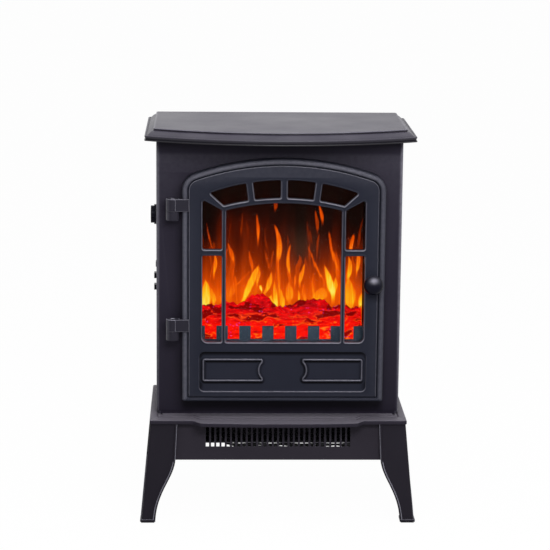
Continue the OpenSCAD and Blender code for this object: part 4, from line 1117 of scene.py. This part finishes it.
def hearth_outline(side, front):
    """The slab seen from above: straight corners, S-curved shoulders and a bowed tongue in front."""
    y = CORNER_Y + front
    bow_r = (TONGUE_HALF**2 + TONGUE_BOW**2) / (2 * TONGUE_BOW)
    left = []
    for i in range(15):
        t = i / 14
        s = t * t * (3 - 2 * t)
        left.append((-TONGUE_HALF - SHOULDER_W * (1 - t), y - TONGUE_OUT * s))
    for i in range(1, 17):
        x = -TONGUE_HALF + TONGUE_HALF * i / 16
        left.append((x, y - TONGUE_OUT - TONGUE_BOW + arc_drop(bow_r, x)))
    right = flipped(left[:-1])
    x, rear = HEARTH_HALF - side, HEARTH_REAR - side
    points = [(-x, rear), (-x, y)] + left + right + [(x, y), (x, rear)]
    radii = [3.0, 3.0] + [0] * (len(left) + len(right)) + [3.0, 3.0]
    return rounded(points, radii, 5)


def hearth_slab():
    skin = Skin()
    slab = hearth_outline(0, 0)
    edge = [(-1.2, HEARTH_Z0), (-0.3, HEARTH_Z0 + 0.3), (0.0, HEARTH_Z0 + 1.0), (0.0, HEARTH_TOP - 1.4)]
    edge += [(-0.3, HEARTH_TOP - 0.6), (-1.0, HEARTH_TOP - 0.1), (-1.9, HEARTH_TOP)]
    rings = [flat_xy(grown(slab, d), z) for d, z in edge]
    # Painted shade on the slab's front face and a painted highlight along its top edge
    made = skin.loft(rings, wear_and_painted_light=[0, 0, -0.12, -0.12, -0.05, 0.15, 0.0])
    border = made[-1]
    for side, front in GROOVES:
        line = hearth_outline(side, front)
        cut = skin.loft([flat_xy(grown(line, d), HEARTH_TOP - deep) for d, deep in GROOVE])
        skin.fill(border, cut[0])
        border = cut[-1]
    hole = corners(-WELL_HALF, WELL_HALF, WELL_Y0, WELL_Y1)
    well = skin.loft([flat_xy(hole, z) for z in (HEARTH_Z0, HEARTH_TOP)])
    skin.fill(made[0], well[0])
    skin.fill(border, well[-1])
    skin.piece("hearth_slab", hearth_paint_top_lit, "cabinet_paint", stands_for=["hearth"])


hearth_slab()


# ---------- legs ----------

LEG_Y0 = -80.0
LEG_MID = 20.1
LEG_T = 3.0
LEG_R = 3.5
LEG_TOP_X = 188.6
FOOT_HALF = 204.0
FOOT_OUT = 12.0
LIP_OUT = 1.8
LIP_W = 4.0
PAD_H = 1.5
SOLE_W = 22.5
SOLE_H = 4.0
HEAD_X0 = 151.1
HEAD_X1 = 187.6
HEAD_D = 37.5
HEAD_H = 3
# The inner curve of a leg's front wall: distance from the middle and height
LEG_STRAIGHT = [(149.1, HEARTH_Z0), (150.4, 122.0)]
LEG_CURVE = ((151.6, 96.0), (153.6, 66.0), (179.5, 48.0), (181.5, PAD_H))
# Below this height the lip's painted highlight moves inwards and its edge gets painted shade
LIP_TURNS_Z = 92
LIP_UPPER = [0.4, 0.9, 1.0, 0.55, 0.1, 0.0, 0.0, 0.0, 0.0, 0.0]
LIP_LOWER = [-0.8, -0.8, -0.8, -0.8, -0.5, 0.1, 0.7, 0.75, 0.3, 0.0]


def leg_section(inner, z):
    """One level of a leg: both walls, the corner between them and a half-round lip at each end."""
    t = (z - PAD_H) / (HEARTH_Z0 - PAD_H)
    y = LEG_Y0 - FOOT_OUT * (1 - t)
    x = FOOT_HALF - LIP_OUT + (LEG_TOP_X - FOOT_HALF + LIP_OUT) * t
    end = LEG_Y0 - FOOT_OUT + FOOT_HALF - LIP_OUT - inner
    rib = half_round(LIP_W, LIP_OUT, 8)
    section = [(inner, y + LEG_T - 0.5)]
    section += [(inner + d, y - h) for d, h in rib]
    section += arc(x - LEG_R, y + LEG_R, LEG_R, 270, 360, 8)
    section += [(x + h, end - d) for d, h in reversed(rib)]
    section += [(x - LEG_T + 0.5, end), (x - LEG_T, end - 0.5)]
    section += [(x - LEG_T, y + LEG_T), (inner + 0.5, y + LEG_T)]
    return flat_xy(section, z)


def leg_shape():
    """Front right leg: two leaning walls, a rolled lip along their curved edges and a flanged sole."""
    curve = LEG_STRAIGHT + bezier(*LEG_CURVE, 30)
    # Painted highlight and painted shade along each lip, by height
    worn_and_painted_light = []
    for _, z in curve:
        line = LIP_LOWER if z < LIP_TURNS_Z else LIP_UPPER
        worn_and_painted_light.append(line + [0.0] * 9 + line[:0:-1] + [0.6, 0.0, 0.0, 0.0])
    skin = Skin()
    skin.bar([leg_section(inner, z) for inner, z in curve], worn_and_painted_light)
    front = LEG_Y0 - FOOT_OUT - LIP_OUT
    skin.block(FOOT_HALF - SOLE_W, FOOT_HALF, front, front + SOLE_W, PAD_H, PAD_H + SOLE_H, 0.8, 0.5)
    skin.block(HEAD_X0, HEAD_X1, LEG_Y0 + 1, LEG_Y0 + HEAD_D, HEARTH_Z0 - HEAD_H, HEARTH_Z0, 0.5)
    return skin


def legs():
    right = leg_shape()
    left = right.mirrored(0)
    placed = {
        "leg_front_right": right,
        "leg_front_left": left,
        "leg_rear_right": right.mirrored(1, LEG_MID),
        "leg_rear_left": left.mirrored(1, LEG_MID),
    }
    for node, shape in placed.items():
        shape.piece("formed_" + node, leg_paint, "cabinet_paint", stands_for=[node])


legs()


# ---------- wiring under the heater ----------

LEADS_FROM = -79
TIE_XS = (-62, -20, 66, 105)
TIE_HALF = 3.0
# A tie's front, back, underside and top
TIE_BOX = (-71.0, -61.5, 109.0, 117.0)


def lead(skin, x0, x1, radius, height, y=-67.0, step=0.6):
    """An insulated lead along the front of the heater housing: height gives its middle at each x."""
    rings = []
    for i in range(int((x1 - x0) / step) + 1):
        x = x0 + i * step
        z = height(x)
        rings.append([(x, y + radius * math.cos(a), z + radius * math.sin(a)) for a in full_turn(10)])
    skin.bar(rings)


def upper_sag(x):
    return 115.0 - 1.3 * min((x - LEADS_FROM) / 16, 1) + 0.5 * math.sin(x * 0.13)


def lower_sag(x):
    return 110.9 + 1.0 * math.sin(x * 0.085 + 0.9) + 0.4 * math.sin(x * 0.31)


def heater_leads():
    """Four leads that droop and wander a little between their ties."""
    skin = Skin()
    lead(skin, LEADS_FROM, 108, 1.7, upper_sag)
    lead(skin, -72, 108, 1.4, lower_sag, -64.0)
    lead(skin, -66, 40, 1.1, lambda x: 111.0 + 0.9 * math.sin(x * 0.12 + 3.4), -69.5)
    lead(skin, 14, 66, 0.7, lambda x: 111.6 + 1.5 * math.sin(x * 1.72), -70.4, 0.25)
    for x in TIE_XS:
        skin.block(x - TIE_HALF, x + TIE_HALF, *TIE_BOX, 0.4)
    skin.piece("heater_leads", foot_rubber, "foot_rubber")


heater_leads()


# ---------- fire ----------

SCREEN_Y = 20.0
SCREEN_THICK = 2.0
FIRE_HALF = 127.7
FIRE_Z0 = 256.0
FIRE_Z1 = 520.0

# Flame tongues: root x and z, tip x and z, sideways bow, half width, heat, height of the belly as a share
TONGUES = [
    (1, 374, -6, 431, 5, 4.4, 0.72, 0.36),
    (3, 326, 0, 384, 1, 2.0, 0.66, 0.50),
    (-1, 300, -5, 344, -1, 3.6, 0.92, 0.30),
    (8, 302, 3, 334, 1, 2.8, 0.86, 0.35),
    (-4, 300, -11, 322, -4, 4.4, 1.00, 0.40),
    (-51, 312, -29, 368, 1, 5.6, 0.94, 0.52),
    (-30, 340, -28, 366, 1, 1.8, 0.80, 0.50),
    (-66, 334, -40, 359, 1, 1.1, 0.64, 0.50),
    (-37, 360, -43, 390, 0, 2.2, 0.62, 0.35),
    (-24, 327, -26, 337, 0, 1.5, 1.10, 0.50),
    (-21, 324, -10, 358, 2, 3.8, 0.84, 0.50),
    (20, 352, 20, 401, -3, 2.2, 0.76, 0.45),
    (34, 340, 42, 371, 0, 2.9, 0.80, 0.50),
    (84, 320, 70, 368, 1, 6.6, 1.00, 0.34),
    (83, 322, 88, 350, 2, 3.4, 0.92, 0.40),
    (69, 344, 46, 397, -2, 1.5, 0.64, 0.40),
    (93, 358, 75, 421, -2, 2.0, 0.64, 0.45),
    (65, 434, 60, 460, 1, 2.1, 0.58, 0.45),
    (59, 420, 55, 452, 1, 1.8, 0.46, 0.45),
    (-30, 406, -33, 446, 1, 2.3, 0.64, 0.50),
    (58, 312, 66, 334, 2, 11.0, 0.80, 0.35),
    (17, 312, 18, 344, 0, 5.0, 0.76, 0.35),
    (26, 336, 28, 354, 0, 1.7, 0.66, 0.45),
    (32, 312, 32, 330, 0, 1.7, 0.84, 0.45),
    (54, 320, 55, 358, -1, 1.9, 0.70, 0.45),
    (-66, 372, -75, 402, 0, 2.7, 0.64, 0.35),
    (-72, 318, -64, 352, 2, 5.0, 0.64, 0.40),
    (-109, 300, -107, 346, 1, 7.6, 1.00, 0.36),
    (-96, 308, -101, 334, 2, 3.0, 0.84, 0.35),
    (-95, 354, -96, 388, 2, 2.6, 0.78, 0.45),
    (-98, 388, -107, 432, -1, 0.9, 0.46, 0.40),
    (110, 304, 109, 348, -1, 8.6, 0.86, 0.40),
    (107, 346, 106, 382, 2, 3.4, 0.86, 0.40),
    (118, 356, 121, 388, 1, 2.8, 0.78, 0.60),
    (109, 390, 115, 416, 0, 3.0, 0.66, 0.66),
    (126, 304, 127, 326, 0, 3.4, 0.94, 0.40),
    (-13, 362, -20, 392, 0, 1.6, 0.48, 0.45),
    (-55, 416, -55, 448, 1, 1.3, 0.34, 0.50),
    (-5, 452, -5, 470, 1, 3.2, 0.38, 0.50),
    (91, 346, 87, 390, 1, 2.8, 0.58, 0.40),
    (-86, 312, -82, 336, 1, 3.6, 0.66, 0.40),
    (42, 312, 40, 340, -1, 3.2, 0.70, 0.40),
]

# Warmth of the glow behind the tongues, by height
GLOW_Z = [300, 330, 362, 408, 458, 480]
GLOW = [0.57, 0.53, 0.385, 0.18, 0.035, 0.01]
# Small loose licks: how many, how far to the sides, and the heights between which they start
LICKS = 44
LICK_HALF = 122
LICK_Z0 = 306
LICK_Z1 = 405


def soft_noise(x, z, scale_x, scale_z, seed):
    flat = [noise.noise((a * scale_x, b * scale_z, seed)) for a, b in zip(x.ravel(), z.ravel())]
    return np.array(flat).reshape(x.shape)


def blot(x, z, at, reach):
    """A soft round patch, 1 in its middle."""
    return np.exp(-(((x - at[0]) / reach[0]) ** 2) - (((z - at[1]) / reach[1]) ** 2))


def tongue(x, z, root, tip, bow, half, belly):
    """One tongue: how far inside its bowed outline each point lies, its faint halo, and the way up it."""
    rise = (z - root[1]) / (tip[1] - root[1])
    t = np.clip(rise, 0, 1)
    middle = root[0] + (tip[0] - root[0]) * t + bow * np.sin(t * math.pi)
    swell = np.where(t < belly, 0.4 + 0.6 * np.sin(np.clip(t / belly, 0, 1) * math.pi / 2), 0)
    taper = np.where(t >= belly, np.clip(np.cos((t - belly) / (1 - belly) * math.pi / 2), 0, 1), 0)
    away = np.abs(x - middle) / (half * (swell + taper) + 0.3)
    edge = np.clip((1.2 - away) / 0.5, 0, 1)
    ends = np.clip((rise + 0.3) / 0.45, 0, 1) * np.clip((1.04 - rise) / 0.12, 0, 1)
    return edge * edge * (3 - 2 * edge) * ends, np.exp(-((away / 2.4) ** 2)) * ends, t


def backdrop(x, z, bend, streaks):
    """Warmth behind the tongues: a glow that fades upwards, a cooler middle and sides, a warm left."""
    curtain = soft_noise(x, z, 0.075, 0.010, 7.0)
    glow = np.interp(z, GLOW_Z, GLOW)
    gloom = blot(x, z, (34, 416), (36, 46))
    gloom += 0.9 * np.clip((np.abs(x) - 84) / 14, 0, 1) * np.clip((z - 385) / 26, 0, 1)
    warm_side = blot(x, z, (-58, 430), (40, 34))
    lively = np.clip((500 - z) / 90, 0, 1)
    ripple = 0.09 * curtain + 0.05 * bend + 0.03 * streaks
    return np.clip(glow + lively * ripple - 0.10 * gloom + 0.045 * warm_side, 0.01, 0.60)


def warmth_and_haze(x, z):
    """How warm each point of the picture is, and how smoky: the tongues, then small loose licks."""
    bend = soft_noise(x, z, 0.035, 0.018, 3.0)
    streaks = soft_noise(x, z, 0.32, 0.016, 12.0)
    fibre = soft_noise(x, z, 0.55, 0.05, 21.0)
    heat = backdrop(x, z, bend, streaks)
    drift = x + 3 * bend + 1.6 * streaks
    for x0, z0, x1, z1, bow, half, strength, belly in TONGUES:
        body, halo, up = tongue(drift, z, (x0, z0), (x1, z1), bow, half, belly)
        hot = strength * (1.02 - 0.24 * up) + 0.12 * fibre - 0.06 * np.clip(1 - body, 0, 1)
        heat = heat + body * np.clip(hot - heat, 0, 1) + 0.045 * strength * halo * (1 - body)
    chance = random.Random(11)
    for _ in range(LICKS):
        root = (chance.uniform(-LICK_HALF, LICK_HALF), chance.uniform(LICK_Z0, LICK_Z1))
        tip = (root[0] + chance.uniform(-6, 6), root[1] + chance.uniform(16, 44))
        hot = 0.60 - 0.34 * (root[1] - LICK_Z0) / 100
        body, _, _ = tongue(drift, z, root, tip, chance.uniform(-2, 2), chance.uniform(0.6, 1.7), 0.5)
        heat = heat + body * np.clip(hot - heat, 0, 1)
    smoke = blot(x, z, (36, 388), (30, 30)) * 0.62 + blot(x, z, (123, 346), (6, 26)) * 0.6
    return heat, smoke * np.clip(1.25 - heat * 2.0, 0, 1)


def flame_sheet():
    """The flame picture: a fine flat mesh that carries its colours, given the screen's thickness."""
    xs = np.linspace(-FIRE_HALF, FIRE_HALF, int(2 * FIRE_HALF) + 1)
    zs = np.linspace(FIRE_Z0, FIRE_Z1, int(FIRE_Z1 - FIRE_Z0) + 1)
    skin = Skin()
    skin.loft([[(x, SCREEN_Y, z) for x in xs] for z in zs], closed=False)
    mesh = skin.mesh("flame_picture")
    heat, smoke = warmth_and_haze(*np.meshgrid(xs, zs))
    for label, values in (("warmth", heat), ("haze", smoke)):
        point_values(mesh, label, np.clip(values, 0, 1).ravel().astype(np.float32))
    picture = linked("flame_picture", mesh)
    mesh.materials.append(flame_picture)
    thick = picture.modifiers.new("sheet thickness", "SOLIDIFY")
    thick.thickness = SCREEN_THICK * MM
    thick.offset = -1.0
    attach(picture, "cabinet")
    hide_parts("flame_screen")


flame_sheet()

EMBER_Y0 = -28.0
EMBER_Y1 = 19.5
EMBER_HALF = 126.0
EMBER_GRID = 1.4
EMBER_FOOT = FIRE_Z0 + 0.3
EMBER_TOP = FIRE_Z0 + 70
# In metres: the glow is gone above the first height, and full by the second measure below it
GLOW_ENDS = 0.302
GLOW_FADES = 0.022
LOG_RINGS = 44
LOG_SIDES = 28
# Logs: middle x, length, diameter, turn seen from above, share of the slope
LOGS = [
    (-74, 70, 22, 9, 0.60),
    (-30, 74, 25, -7, 0.74),
    (24, 70, 20, 5, 0.62),
    (66, 76, 23, -6, 0.70),
    (104, 46, 18, 10, 0.58),
    (-44, 62, 18, -16, 0.32),
    (6, 56, 16, 12, 0.30),
    (52, 62, 18, -12, 0.33),
    (96, 50, 16, 18, 0.30),
    (-98, 48, 16, 20, 0.34),
]


def within(value, low, high):
    return min(max(value, low), high)


def bed_height(x, y):
    """Top of the coals: a slope towards the screen, with humps and hollows."""
    t = (y - EMBER_Y0) / (EMBER_Y1 - EMBER_Y0)
    base = 10 + 17 * min(t / 0.45, 1) + 22 * max(t - 0.45, 0) / 0.55
    hump = 17 * math.exp(-(((x + 28) / 21) ** 4)) + 10 * math.exp(-(((x - 52) / 24) ** 4))
    hump += 7 * math.exp(-(((x + 70) / 20) ** 2))
    rough = 4.0 * noise.fractal((x * 0.05, y * 0.07, 1.0), 0.9, 2.1, 4)
    crag = 2.4 * noise.fractal((x * 0.19, y * 0.22, 5.0), 0.7, 2.2, 3)
    return within(FIRE_Z0 + base + hump * t * t + rough + crag, FIRE_Z0 + 3, EMBER_TOP)


def ember_bed():
    """The coals as one sheet with skirts on its four sides, and the logs that lie in it."""
    skin = Skin()
    xs = np.arange(-EMBER_HALF, EMBER_HALF + 0.1, EMBER_GRID)
    ys = np.linspace(EMBER_Y0, EMBER_Y1, 36)
    rows = skin.loft([[(x, y, bed_height(x, y)) for x in xs] for y in ys], closed=False)
    skirt_front = skin.ring([(x, EMBER_Y0, EMBER_FOOT) for x in xs])
    skirt_back = skin.ring([(x, EMBER_Y1, EMBER_FOOT) for x in xs])
    skin.join(skirt_front, rows[0], closed=False)
    skin.join(rows[-1], skirt_back, closed=False)
    for side in (0, -1):
        low = skin.ring([(xs[side], y, EMBER_FOOT) for y in ys])
        skin.join([r[side] for r in rows], low, closed=False)
    for index, log in enumerate(LOGS):
        ember_log(skin, index, *log)
    bed = skin.piece("ember_coals", ember_glow, "ember_resin", stands_for=["ember_bed"], sharp=180)
    values = [within((GLOW_ENDS - v.co.z) / GLOW_FADES, 0, 1) for v in bed.data.vertices]
    point_values(bed.data, "glow", values)


def ember_log(skin, index, cx, length, diameter, turn, share):
    """A ridged log with blunt ends, kept within the bed's room."""
    cy = EMBER_Y0 + (EMBER_Y1 - EMBER_Y0) * share
    cz = FIRE_Z0 + 4 + 46 * share
    angle = math.radians(turn)
    rings = []
    for i in range(LOG_RINGS + 1):
        u = i / LOG_RINGS * 2 - 1
        end = math.sqrt(max(1 - abs(u) ** 7, 0.0))
        along = u * length / 2
        loop = []
        for a in full_turn(LOG_SIDES):
            bark = (along * 0.05 + index * 9, math.cos(a) * 2.2, math.sin(a) * 2.2)
            ridge = noise.fractal(bark, 0.8, 2.2, 4)
            r = diameter / 2 * (0.86 + 0.2 * ridge) * (0.25 + 0.75 * end)
            px = cx + along * math.cos(angle) - r * math.cos(a) * math.sin(angle)
            py = cy + along * math.sin(angle) + r * math.cos(a) * math.cos(angle)
            pz = cz + r * math.sin(a) + 1.5 * math.sin(along * 0.07 + index)
            px = within(px, -EMBER_HALF + 0.2, EMBER_HALF - 0.2)
            loop.append((px, within(py, EMBER_Y0, EMBER_Y1), within(pz, FIRE_Z0 + 0.5, EMBER_TOP)))
        rings.append(loop)
    skin.bar(rings)


ember_bed()


# ---------- controls ----------

DIAL_Y = 37.0
DIAL_Z = 441.8
WALL_X = -180.5
TICKS = 28
TICK_END = 19.2
TICK_FOOT = 1.45
TICK_FACE = 1.6


def dial_plate():
    """Round dial plate that the knob's shaft passes through."""
    profile = [(20.9, 0.0), (21.0, 0.6), (20.7, 1.2), (20.2, 1.5), (15.6, 1.5), (15.5, 1.1)]
    profile += [(5.2, 1.1), (5.2, 0.0)]
    rings = []
    for radius, out in profile:
        turned = [(DIAL_Y + radius * math.cos(a), DIAL_Z + radius * math.sin(a)) for a in full_turn(96)]
        rings.append([(WALL_X - out, y, z) for y, z in turned])
    skin = Skin()
    made = skin.loft(rings)
    skin.join(made[-1], made[0])
    skin.piece("ticked_dial_plate", knob_plastic, "knob_plastic", stands_for=["dial_plate"])


def dial_ticks():
    """Plain ticks round the knob, every third one longer and wider."""
    skin = Skin()
    for i in range(TICKS):
        a = math.radians(-225 + i * 10)
        inner, across = (16.9, 0.22) if i % 3 else (16.3, 0.35)
        points = []
        for radius, offset in ((inner, -across), (TICK_END, -across), (TICK_END, across), (inner, across)):
            y = radius * math.cos(a) - offset * math.sin(a)
            z = radius * math.sin(a) + offset * math.cos(a)
            points.append((y + DIAL_Y, z + DIAL_Z))
        levels = [[(WALL_X - out, y, z) for y, z in points] for out in (TICK_FOOT, TICK_FACE)]
        lower, upper = skin.loft(levels)
        skin.fill(upper)
        skin.fill(lower)
    skin.piece("dial_ticks", board_white, "board_white")


dial_plate()
dial_ticks()


# ---------- carried-over parts of the frame ----------

# A face rounds an edge where its area over its length is less than this, in metres
NARROW_FACE = 0.0009
# and its neighbours turn away from it by more than this, in radians
BENT_EDGE = 0.14


def on_edges(tree, value):
    return place(tree, "GeometryNodeFieldOnDomain", {0: value}, data_type="FLOAT", domain="EDGE").outputs[0]


def compared(tree, operation, a, b):
    return place(tree, "FunctionNodeCompare", {"A": a, "B": b}, operation=operation).outputs[0]


def shaded_smooth(tree, mesh, chosen, domain):
    inputs = {"Geometry": mesh, "Shade Smooth": chosen}
    return place(tree, "GeometryNodeSetShadeSmooth", inputs, domain=domain).outputs[0]


def edge_nodes():
    """Smooths faces that meet at small angles and stores a painted highlight on the narrow faces of rounded
    edges, most where they look up, and above 1 a painted side light on faces turned left.
    """
    tree = bpy.data.node_groups.new("smooth faces and rubbed edges", "GeometryNodeTree")
    tree.interface.new_socket("Geometry", in_out="INPUT", socket_type="NodeSocketGeometry")
    tree.interface.new_socket("Worn and painted light", in_out="INPUT", socket_type="NodeSocketFloat")
    tree.interface.new_socket("Geometry", in_out="OUTPUT", socket_type="NodeSocketGeometry")
    mesh, worn_and_painted_light = tree.nodes.new("NodeGroupInput").outputs[:2]
    angle = tree.nodes.new("GeometryNodeInputMeshEdgeAngle").outputs[0]
    small = compared(tree, "LESS_THAN", angle, math.radians(SMOOTH_BELOW))
    smooth = shaded_smooth(tree, shaded_smooth(tree, mesh, True, "FACE"), small, "EDGE")
    ends = tree.nodes.new("GeometryNodeInputMeshEdgeVertices").outputs
    between = place(tree, "ShaderNodeVectorMath", {0: ends[2], 1: ends[3]}, operation="DISTANCE")
    length = between.outputs["Value"]
    area = tree.nodes.new("GeometryNodeInputMeshFaceArea").outputs[0]
    narrow = compared(tree, "LESS_THAN", sums(tree, "DIVIDE", area, on_edges(tree, length)), NARROW_FACE)
    bent = compared(tree, "GREATER_THAN", on_edges(tree, angle), BENT_EDGE)
    normal = tree.nodes.new("GeometryNodeInputNormal").outputs[0]
    axes = place(tree, "ShaderNodeSeparateXYZ", {0: normal}).outputs
    rounding = product(tree, narrow, bent)
    lit = product(tree, rounding, ranged(tree, axes[2], -0.3, 0.8, 0.15, 1.0))
    # Painted light on faces turned left, only where the input is above 1
    turned = ranged(tree, axes[0], -0.4, -0.85, 0.0, 0.2)
    left_face_light = product(tree, turned, sums(tree, "GREATER_THAN", worn_and_painted_light, 1.0))
    amount = sums(tree, "MAXIMUM", product(tree, lit, worn_and_painted_light), left_face_light)
    inputs = {"Geometry": smooth, "Name": "wear_and_painted_light", "Value": amount}
    marked = place(tree, "GeometryNodeStoreNamedAttribute", inputs, data_type="FLOAT", domain="FACE")
    place(tree, "NodeGroupOutput", {0: marked.outputs[0]})
    return tree


EDGE_NODES = edge_nodes()


def soften(name, width, worn_and_painted_light):
    """Joins the points of a carried-over part, rounds its edges, smooths its curved faces and stores its
    painted edge highlight.
    """
    obj = nodes[name]
    if "custom_normal" in obj.data.attributes:
        obj.data.attributes.remove(obj.data.attributes["custom_normal"])
    weld = obj.modifiers.new("joined points", "WELD")
    weld.merge_threshold = JOIN_WITHIN
    if width:
        round_edge = obj.modifiers.new("rounded edges", "BEVEL")
        round_edge.width = width * MM
        round_edge.segments = 3
        round_edge.limit_method = "ANGLE"
        round_edge.angle_limit = math.radians(BEVEL_ABOVE)
        round_edge.harden_normals = False
    smooth = obj.modifiers.new("smooth faces", "NODES")
    smooth.node_group = EDGE_NODES
    smooth["Socket_1"] = worn_and_painted_light
    weighted = obj.modifiers.new("flat faces stay flat", "WEIGHTED_NORMAL")
    weighted.keep_sharp = True


# Finish, width of its rounded edges, their painted highlight (above 1 also on faces turned left), parts
FINISHES = [
    (charcoal_paint, 0.5, 0.3, ["left_side_panel", "right_side_panel", "base_tray"]),
    (charcoal_paint, 0, 0, ["back_panel"]),
    (apron_paint, 0.4, 0.15, ["front_apron", "left_apron", "right_apron", "rear_apron"]),
    (hinge_paint, 1.0, 1.5, ["upper_hinge_arm", "lower_hinge_arm"]),
    (hinge_paint, 1.0, 1.5, ["upper_hinge_bracket", "lower_hinge_bracket"]),
    (knob_plastic, 0.3, 0.25, ["thermostat_knob", "button_frames"]),
    (knob_plastic, 0.3, 0.25, ["flame_button", "low_heat_button", "high_heat_button"]),
    (zinc_steel, 0.15, 0, ["top_screws", "panel_screws", "leg_screws", "glass_clip_screws", "hinge_pins"]),
    (zinc_steel, 0.2, 0, ["thermostat_shaft", "glass_clips", "strike_plate"]),
    (galvanised, 0.3, 0, ["top_deck"]),
    (shade_darkened_sheet, 0.3, 0, ["heater_housing"]),
    (firebox_black, 0.3, 0, ["firebox_left_wall", "firebox_right_wall", "firebox_back"]),
    (firebox_black, 0.3, 0, ["firebox_ceiling", "firebox_floor"]),
    (grate_paint, 0.25, 0, ["fire_grate"]),
    (magnet_black, 0.4, 0, ["magnet_catch"]),
    (bakelite, 0.4, 0, ["thermostat", "switch_blocks", "cord_inlet"]),
    (board_white, 0.15, 0, ["led_boards"]),
    (rotor_foil, 0, 0, ["flame_rotor"]),
    (motor_can, 0.4, 0, ["rotor_motor", "blower_motor"]),
    (bearing_nylon, 0.3, 0, ["rotor_bearing", "blower_bearing"]),
    (wheel_alloy, 0, 0, ["blower_wheel"]),
    (heater_fins_darkened, 0.1, 0, ["heating_element"]),
    (bakelite, 0.3, 0, ["thermal_cutout"]),
    (foot_rubber, 0.4, 0, ["foot_pads"]),
    (door_glass, 0.4, 0, ["door_glass"]),
]

for finish, width, worn_and_painted_light, names in FINISHES:
    for name in names:
        nodes[name].data.materials.clear()
        nodes[name].data.materials.append(finish)
        soften(name, width, worn_and_painted_light)


# ---------- studio ----------

FLOOR_REACH = 12.0
FLOOR_GLOW = 1.03
FLOOR_SHARE = 0.95
AIR_LIGHT = 0.22
WHITE = (1.0, 1.0, 1.0, 1.0)


def seen_directly(tree):
    """1 for what the camera sees, also by way of a mirror or glass, and 0 for what only lights."""
    path = place(tree, "ShaderNodeLightPath").outputs
    seen = sums(tree, "MAXIMUM", path["Is Camera Ray"], path["Is Glossy Ray"])
    return sums(tree, "MAXIMUM", seen, path["Is Transmission Ray"])


def studio_floor():
    material = bpy.data.materials.new("studio floor")
    tree = empty_tree(material)
    paper = place(tree, "ShaderNodeBsdfDiffuse", {"Color": (0.5, 0.5, 0.5, 1.0)}).outputs[0]
    white = place(tree, "ShaderNodeEmission", {"Color": WHITE, "Strength": FLOOR_GLOW}).outputs[0]
    share = product(tree, seen_directly(tree), FLOOR_SHARE)
    mixed = place(tree, "ShaderNodeMixShader", {0: share, 1: paper, 2: white}).outputs[0]
    place(tree, "ShaderNodeOutputMaterial", {"Surface": mixed})
    mesh = bpy.data.meshes.new("studio_floor")
    r = FLOOR_REACH
    mesh.from_pydata(flat_xy(corners(-r, r, -r, r), 0), [], [(0, 1, 2, 3)])
    mesh.materials.append(material)
    floor = linked("studio_floor", mesh)


def studio_air():
    world = bpy.data.worlds.new("studio air")
    bpy.context.scene.world = world
    tree = empty_tree(world)
    strength = ranged(tree, seen_directly(tree), 0.0, 1.0, AIR_LIGHT, 1.0)
    air = place(tree, "ShaderNodeBackground", {"Color": WHITE, "Strength": strength}).outputs[0]
    place(tree, "ShaderNodeOutputWorld", {"Surface": air})


def softbox(name, place_at, aim, width, height, power):
    lamp = bpy.data.lights.new(name, "AREA")
    lamp.shape = "RECTANGLE"
    lamp.size = width
    lamp.size_y = height
    lamp.energy = power
    obj = linked(name, lamp)
    obj.location = place_at
    obj.rotation_euler = (Vector(aim) - Vector(place_at)).to_track_quat("-Z", "Y").to_euler()


studio_floor()
studio_air()
softbox("key softbox", (0.1, -0.95, 0.9), (0, -0.1, 0.6), 0.7, 0.35, 6)
softbox("top softbox", (-0.05, -0.35, 2.2), (0, 0, 0.4), 1.5, 1.1, 19)
softbox("right strip", (1.9, -0.6, 0.9), (0, 0, 0.35), 0.3, 1.4, 6)

bpy.context.scene.view_settings.view_transform = "Standard"
